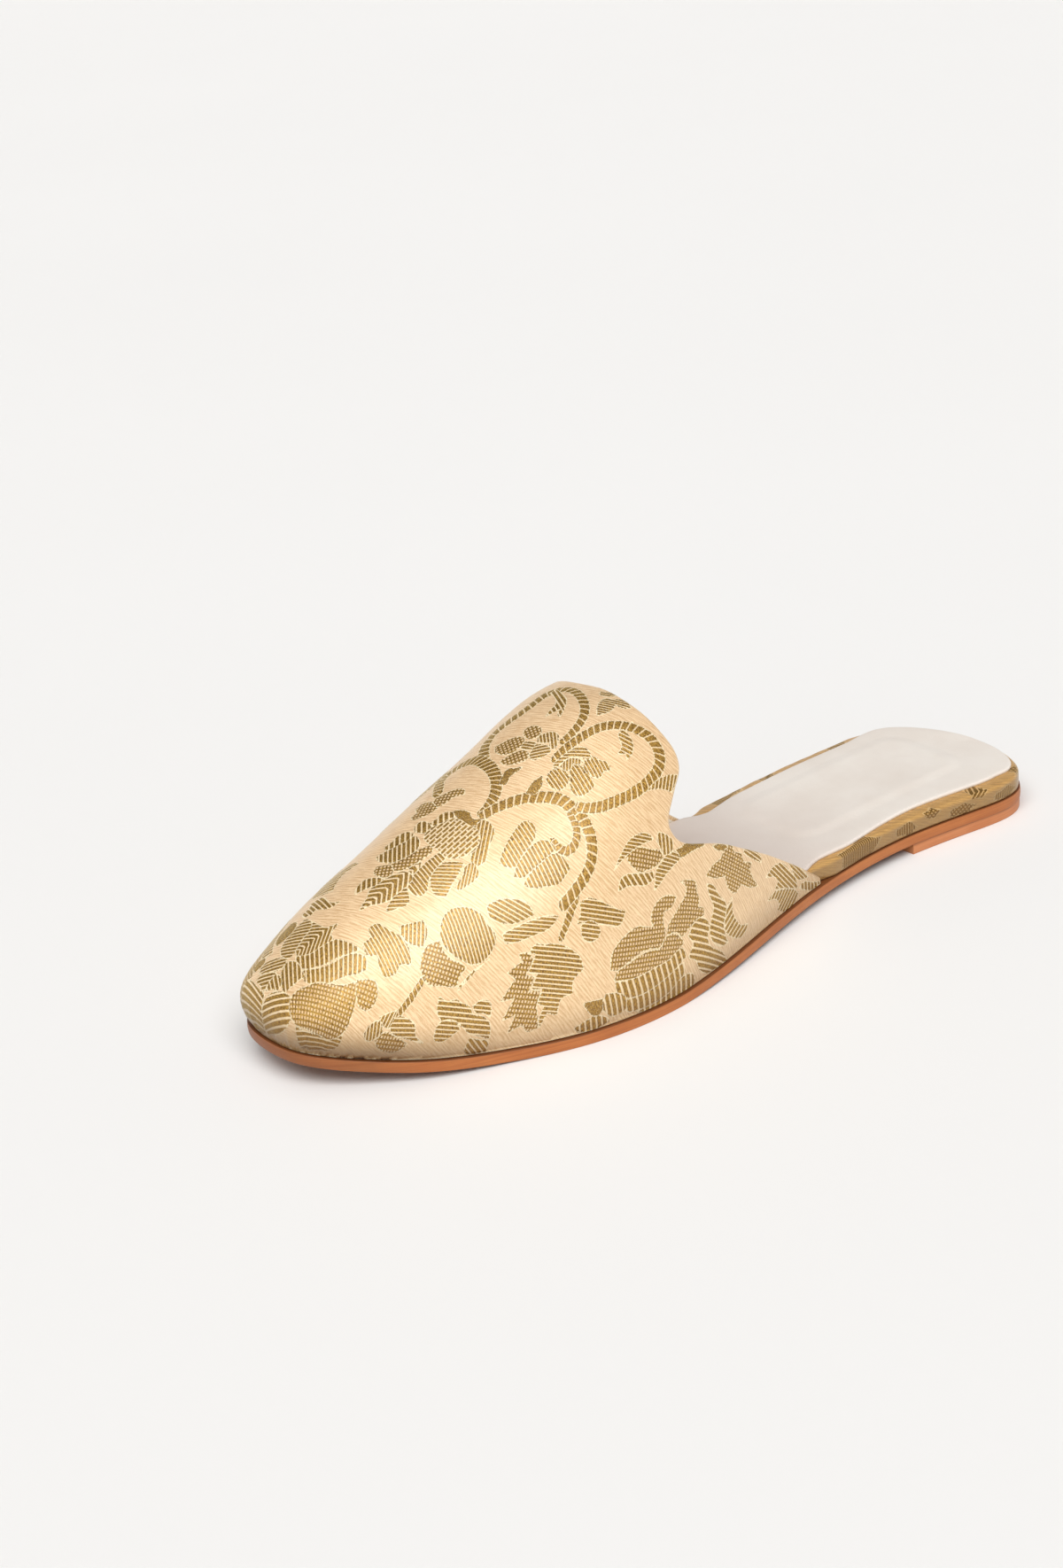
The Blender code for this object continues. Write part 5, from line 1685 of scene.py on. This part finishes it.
def satin_grain(finish, cloth):
    """Tone of the satin, 0 to 1: fine broken lines slanting across the cloth, slubs and grain; and
    the slubs alone."""
    across, along = finish.split(cloth)[:2]
    slanted = finish.join(across, finish.scaled(across, SATIN_SLOPE, along))
    wander = finish.streaks(slanted, WANDER_COUNTS)
    line = finish.scaled(wander, WANDER_MM, finish.split(slanted)[1])
    broken = finish.step(finish.streaks(slanted, BREAK_COUNTS), *BREAK_EDGE)
    wale = finish.times(finish.wave(finish.times(line, WALES_PER_MM)), broken)
    pick = finish.streaks(slanted, PICK_COUNTS, 3.0, 0.7)
    slub = finish.streaks(slanted, SLUB_COUNTS, 2.0, 0.6)
    grain = finish.noise(cloth, *GRAIN_NOISE)
    tone = finish.plus(finish.times(pick, PICK_SHARE), finish.times(grain, GRAIN_SHARE))
    tone = finish.scaled(slub, SLUB_SHARE, tone)
    return finish.scaled(wale, WALE_SHARE, tone), slub


def brocade(name, tones, shade):
    """Satin ground with floats of gold thread, proud of it by a thread's height, with painted shade low on
    the wall.
    """
    finish = Finish(name)
    cloth = finish.attribute("cloth")
    cover, gap, hem = thread_cover(finish, cloth)
    tone, slub = satin_grain(finish, cloth)
    satin = finish.mix(finish.step(tone, *SATIN_RANGE), tones.satin_deep, tones.satin)
    bright = finish.math("MAXIMUM", finish.times(hem, HEM_PALE), finish.times(gap, GAP_PALE))
    satin = finish.mix(bright, satin, tones.edge)
    twist = finish.streaks(cloth, TWIST_COUNTS, 2.0, 0.7)
    gold = finish.mix(finish.step(twist, *TWIST_RANGE), tones.thread_deep, tones.thread)
    colour = finish.mix(cover, satin, gold)
    # Painted shade: low on the wall the colour is drawn towards the deep thread tone.
    level, strength = finish.split(finish.attribute("foot"))[:2]
    low = finish.times(finish.step(level, *shade, 1.0, 0.0), strength)
    colour = finish.mix(low, colour, tones.thread_deep)
    height = finish.scaled(bright, BRIGHT_RELIEF, finish.times(tone, SATIN_RELIEF))
    height = finish.scaled(cover, finish.scaled(twist, TWIST_RELIEF, THREAD_RELIEF), height)
    rough = finish.scaled(cover, THREAD_SMOOTHER, finish.scaled(slub, SLUB_ROUGHER, SATIN_ROUGH))
    metal = finish.scaled(cover, METAL[1] - METAL[0], METAL[0])
    coat = finish.scaled(cover, COAT[1] - COAT[0], COAT[0])
    return finish.finish(**CLOTH_GLOSS, Base_Color=colour, Metallic=metal, Roughness=rough,
                         Coat_Weight=coat, Normal=finish.bump(height, THREAD_BUMP))


# Coated leather of the lining and the sock; scales are changes a metre.
STAIN_NOISE = (45.0, 3.0, 0.6)
STAIN_RANGE = (0.3, 0.7)
PEBBLE_SCALE = 1500.0
PEBBLE_RELIEF = 0.6
FINE_SCALE = 900.0
FINE_ROUGH = 0.12
COATED_BUMP = (0.00004, 0.7)
PAINTED_SHADE_REACH = (0.012, 0.075)    # along the shoe, the painted shade under the upper fades between these places
# tone of the painted shade where the upper covers the sock
PAINTED_SHADE_TONE = srgb(190, 168, 158)


def soft_leather(name, light, deep, roughness, shade_depth=0.0):
    """Smooth coated leather with a fine pebble and faint stains, darkened and greyed towards the toe by
    painted shade under the upper.
    """
    finish = Finish(name)
    place = finish.place()
    stain = finish.step(finish.noise(place, *STAIN_NOISE), *STAIN_RANGE)
    pebble = finish.node("ShaderNodeTexVoronoi", {"Vector": place, "Scale": PEBBLE_SCALE})
    fine = finish.noise(place, FINE_SCALE)
    along = finish.split(place)[1]
    # Painted shade: darker and greyer towards the toe, where the upper covers it.
    painted_shade = finish.step(along, *PAINTED_SHADE_REACH, shade_depth, 0.0)
    colour = finish.mix(painted_shade, finish.mix(stain, deep, light), PAINTED_SHADE_TONE)
    height = finish.plus(finish.times(pebble.outputs["Distance"], PEBBLE_RELIEF), fine)
    rough = finish.scaled(fine, FINE_ROUGH, roughness - FINE_ROUGH / 2)
    return finish.finish(Base_Color=colour, Roughness=rough, Normal=finish.bump(height, *COATED_BUMP))


# Sole leather; its layers lie flat, so they are fine in height and long across.
SoleTones = namedtuple("SoleTones", "light deep burnt")
SOLE_TONES = SoleTones(srgb(190, 116, 58), srgb(162, 90, 40), srgb(90, 48, 20))
LIFT_TONES = SoleTones(srgb(206, 136, 88), srgb(184, 112, 64), srgb(106, 58, 30))
LAYER_COUNTS = (30.0, 30.0, 1500.0)
LAYER_SHARE, CLOUD_SHARE = 0.6, 0.4
CLOUD_NOISE = (60.0, 3.0, 0.6)
PORE_SCALE = 1200.0
LEATHER_RANGE = (0.3, 0.7)
CLOUDED_BURN = 0.5
BURN_RANGE = (0.55, 1.3)
BURN_DEPTH = 0.85
LAYER_RELIEF, PORE_RELIEF = 0.8, 0.5
LAYER_ROUGH, LEATHER_ROUGH = 0.25, 0.36
LEATHER_BUMP = (0.00006, 0.8)


def sole_leather(name, tones):
    """Tan sole leather: long fine layers round the edge, darker where the edge was burnished."""
    finish = Finish(name)
    place = finish.place()
    layers = finish.streaks(place, LAYER_COUNTS, 4.0, 0.65)
    cloud = finish.noise(place, *CLOUD_NOISE)
    tone = finish.plus(finish.times(layers, LAYER_SHARE), finish.times(cloud, CLOUD_SHARE))
    colour = finish.mix(finish.step(tone, *LEATHER_RANGE), tones.deep, tones.light)
    edge = finish.plus(finish.attribute("burnish", "Fac"), finish.times(cloud, CLOUDED_BURN))
    burn = finish.times(finish.step(edge, *BURN_RANGE), BURN_DEPTH)
    colour = finish.mix(burn, colour, tones.burnt)
    pores = finish.times(finish.noise(place, PORE_SCALE), PORE_RELIEF)
    height = finish.plus(finish.times(layers, LAYER_RELIEF), pores)
    rough = finish.scaled(layers, LAYER_ROUGH, LEATHER_ROUGH)
    return finish.finish(Base_Color=colour, Roughness=rough, Normal=finish.bump(height, *LEATHER_BUMP))


BURNT_TOE = (-0.07, -0.125)     # where the edge starts to darken towards the toe, and is darkest
BURNT_TOE_DEPTH = 0.75
BURNT_PARTS = 5                 # the lowest and the highest fifth of an edge are darker too,
BURNT_FOOT_DEPTH = 0.8          # the lowest a little less


def burnish(mesh, low, height):
    """Marks how burnt each vertex of an edge is; the edge stands on low, a height for each y."""
    near, far = BURNT_TOE
    values = []
    for vertex in mesh.vertices:
        parts = BURNT_PARTS * (vertex.co.z - low(vertex.co.y)) / height
        foot = max(0.0, 1 - parts) ** 2 * BURNT_FOOT_DEPTH
        ends = foot + max(0.0, parts - (BURNT_PARTS - 1)) ** 2
        toe = min(1.0, max(0.0, (near - vertex.co.y) / (near - far)))
        values.append(max(ends, toe * BURNT_TOE_DEPTH))
    mesh.attributes.new("burnish", "FLOAT", "POINT").data.foreach_set("value", values)


# ---------------------------------------------------------------- assemble
def declare(piece, node):
    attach(piece, "root")
    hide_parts(node)


# Light and deep tone of the coated leathers.
LINING_TONES = (srgb(232, 222, 204), srgb(222, 210, 190))
LINING_ROUGH = 0.55
SOCK_TONES = (srgb(232, 225, 217), srgb(226, 217, 208))
SOCK_ROUGH = 0.5
# strength of the sock's painted shade under the upper
SOCK_PAINTED_SHADE = 0.5


def build_shoe():
    form = UpperForm()
    upper, top, foot = add_brocade_upper(form, brocade("brocade_satin", UPPER_CLOTH, FOOT_SHADE))
    declare(upper, "upper")
    lining = add_lining(form, top, foot, soft_leather("lining_leather", *LINING_TONES, LINING_ROUGH))
    declare(lining, "upper")
    # The rim's brocade, in tones darkened as painted shade.
    rim = add_rim(brocade("brocade_rim", SHADED_RIM_CLOTH, RIM_SHADE))
    declare(rim, "footbed")
    # The sock, with painted shade under the upper's front.
    sock = add_sock(soft_leather("sock_leather", *SOCK_TONES, SOCK_ROUGH, SOCK_PAINTED_SHADE))
    declare(sock, "insole_sock")
    outsole = add_outsole(sole_leather("outsole_leather_tan", SOLE_TONES))
    burnish(outsole.data, underside, SOLE_THICKNESS)
    declare(outsole, "outsole")
    lift = add_lift(sole_leather("lift_leather_tan", LIFT_TONES))
    burnish(lift.data, lambda y: 0.0, HEEL_HEIGHT)
    declare(lift, "heel_lift")


# ---------------------------------------------------------------- floor, light and camera
SWEEP_INNER = 0.8       # metres from the shoe; the floor's first ring
SWEEP_START = 2.6       # where the flat floor turns up into the backdrop
SWEEP_END = 24.0
SWEEP_EASE = 1.5        # the rise comes in over about this distance
SWEEP_SLOPE = 0.38
SWEEP_RINGS = 24
SWEEP_TURNS = 96
PAPER_TONES = ((0.86, 0.855, 0.85, 1), (0.88, 0.875, 0.87, 1))
PAPER_CLOUDS = 3.0
PAPER_ROUGH = 0.8


def sweep_height(radius):
    """Height of the floor sheet: flat under the shoe, then a gentle rise all round."""
    out = max(0.0, radius - SWEEP_START)
    return SWEEP_SLOPE * out * out / (out + SWEEP_EASE)


def add_floor():
    finish = Finish("floor_paper")
    colour = finish.mix(finish.noise(finish.place(), PAPER_CLOUDS), *PAPER_TONES)
    material = finish.finish(Base_Color=colour, Roughness=PAPER_ROUGH)
    radii = [SWEEP_INNER, *np.geomspace(SWEEP_START, SWEEP_END, SWEEP_RINGS)]
    turns = np.linspace(0, 2 * np.pi, SWEEP_TURNS, endpoint=False)
    corners = [(0.0, 0.0, 0.0)]
    for radius in radii:
        height = sweep_height(radius)
        corners += [(radius * np.cos(turn), radius * np.sin(turn), height) for turn in turns]
    rings = 1 + np.arange(len(radii) * SWEEP_TURNS).reshape(len(radii), -1)
    after = np.roll(rings, -1, axis=1)
    faces = [(0, here, there) for here, there in zip(rings[0], after[0])]
    for k in range(len(radii) - 1):
        faces += zip(rings[k], rings[k + 1], after[k + 1], after[k])
    mesh_object("floor", corners, faces, material)


def direction(azimuth, elevation):
    """Unit vector; azimuth 0 points ahead of the toe, 90 to the little-toe side, in degrees."""
    turn, rise = np.radians((azimuth, elevation))
    return Vector((np.sin(turn) * np.cos(rise), -np.cos(turn) * np.cos(rise), np.sin(rise)))


# Distant soft lights and where they stand, in degrees, with how wide each spreads.
Sun = namedtuple("Sun", "name azimuth elevation spread strength colour")
SUNS = (
    Sun("key", 70, 50, 36, 1.88, (1.0, 0.99, 0.98)),
    Sun("front", 18, 54, 30, 0.95, (1.0, 0.99, 0.97)),
    Sun("overhead", 10, 84, 60, 0.6, (1.0, 0.99, 0.98)),
)
WORLD_TONE = (0.11, 0.11, 0.1078, 1)


def add_sun(sun):
    lamp = bpy.data.lights.new(sun.name, "SUN")
    lamp.energy = sun.strength
    lamp.angle = np.radians(sun.spread)
    lamp.color = sun.colour
    made = bpy.data.objects.new(sun.name, lamp)
    made.rotation_euler = direction(sun.azimuth, sun.elevation).to_track_quat("Z", "Y").to_euler()
    bpy.context.scene.collection.objects.link(made)


def add_world():
    world = bpy.data.worlds.new("studio")
    world.use_nodes = True
    world.node_tree.nodes["Background"].inputs["Color"].default_value = WORLD_TONE
    bpy.context.scene.world = world


VIEW_AZIMUTH = 50.001
VIEW_ELEVATION = 27.101
VIEW_DISTANCE = 0.768463
AIM_RIGHT = -0.035722
AIM_UP = 0.041229
VIEW_ROLL = -5.91
VIEW_MIDDLE = 0.00019              # the view's middle lies this far across from the shoe's
FOCAL_WIDTHS = 3030.174 / 1200     # focal length in picture widths
SENSOR_MM = 36.0


def add_camera():
    out = direction(VIEW_AZIMUTH, VIEW_ELEVATION)
    side = direction(VIEW_AZIMUTH + 90, 0)
    place = out * VIEW_DISTANCE
    aim = side * AIM_RIGHT + out.cross(side) * AIM_UP
    back = (place - aim).normalized()
    right = Vector((0, 0, 1)).cross(back).normalized()
    up = back.cross(right)
    roll = np.radians(VIEW_ROLL)
    rolled_right = right * np.cos(roll) + up * np.sin(roll)
    rolled_up = up * np.cos(roll) - right * np.sin(roll)
    axes = Matrix((rolled_right, rolled_up, back)).transposed()
    data = bpy.data.cameras.new("camera")
    data.sensor_width = SENSOR_MM
    data.sensor_fit = "HORIZONTAL"
    data.lens = SENSOR_MM * FOCAL_WIDTHS
    made = bpy.data.objects.new("camera", data)
    made.matrix_world = Matrix.Translation(place - Vector((VIEW_MIDDLE, 0, 0))) @ axes.to_4x4()
    bpy.context.scene.collection.objects.link(made)
    bpy.context.scene.camera = made


build_shoe()
add_floor()
for sun in SUNS:
    add_sun(sun)
add_world()
add_camera()
bpy.context.scene.view_settings.view_transform = "Standard"
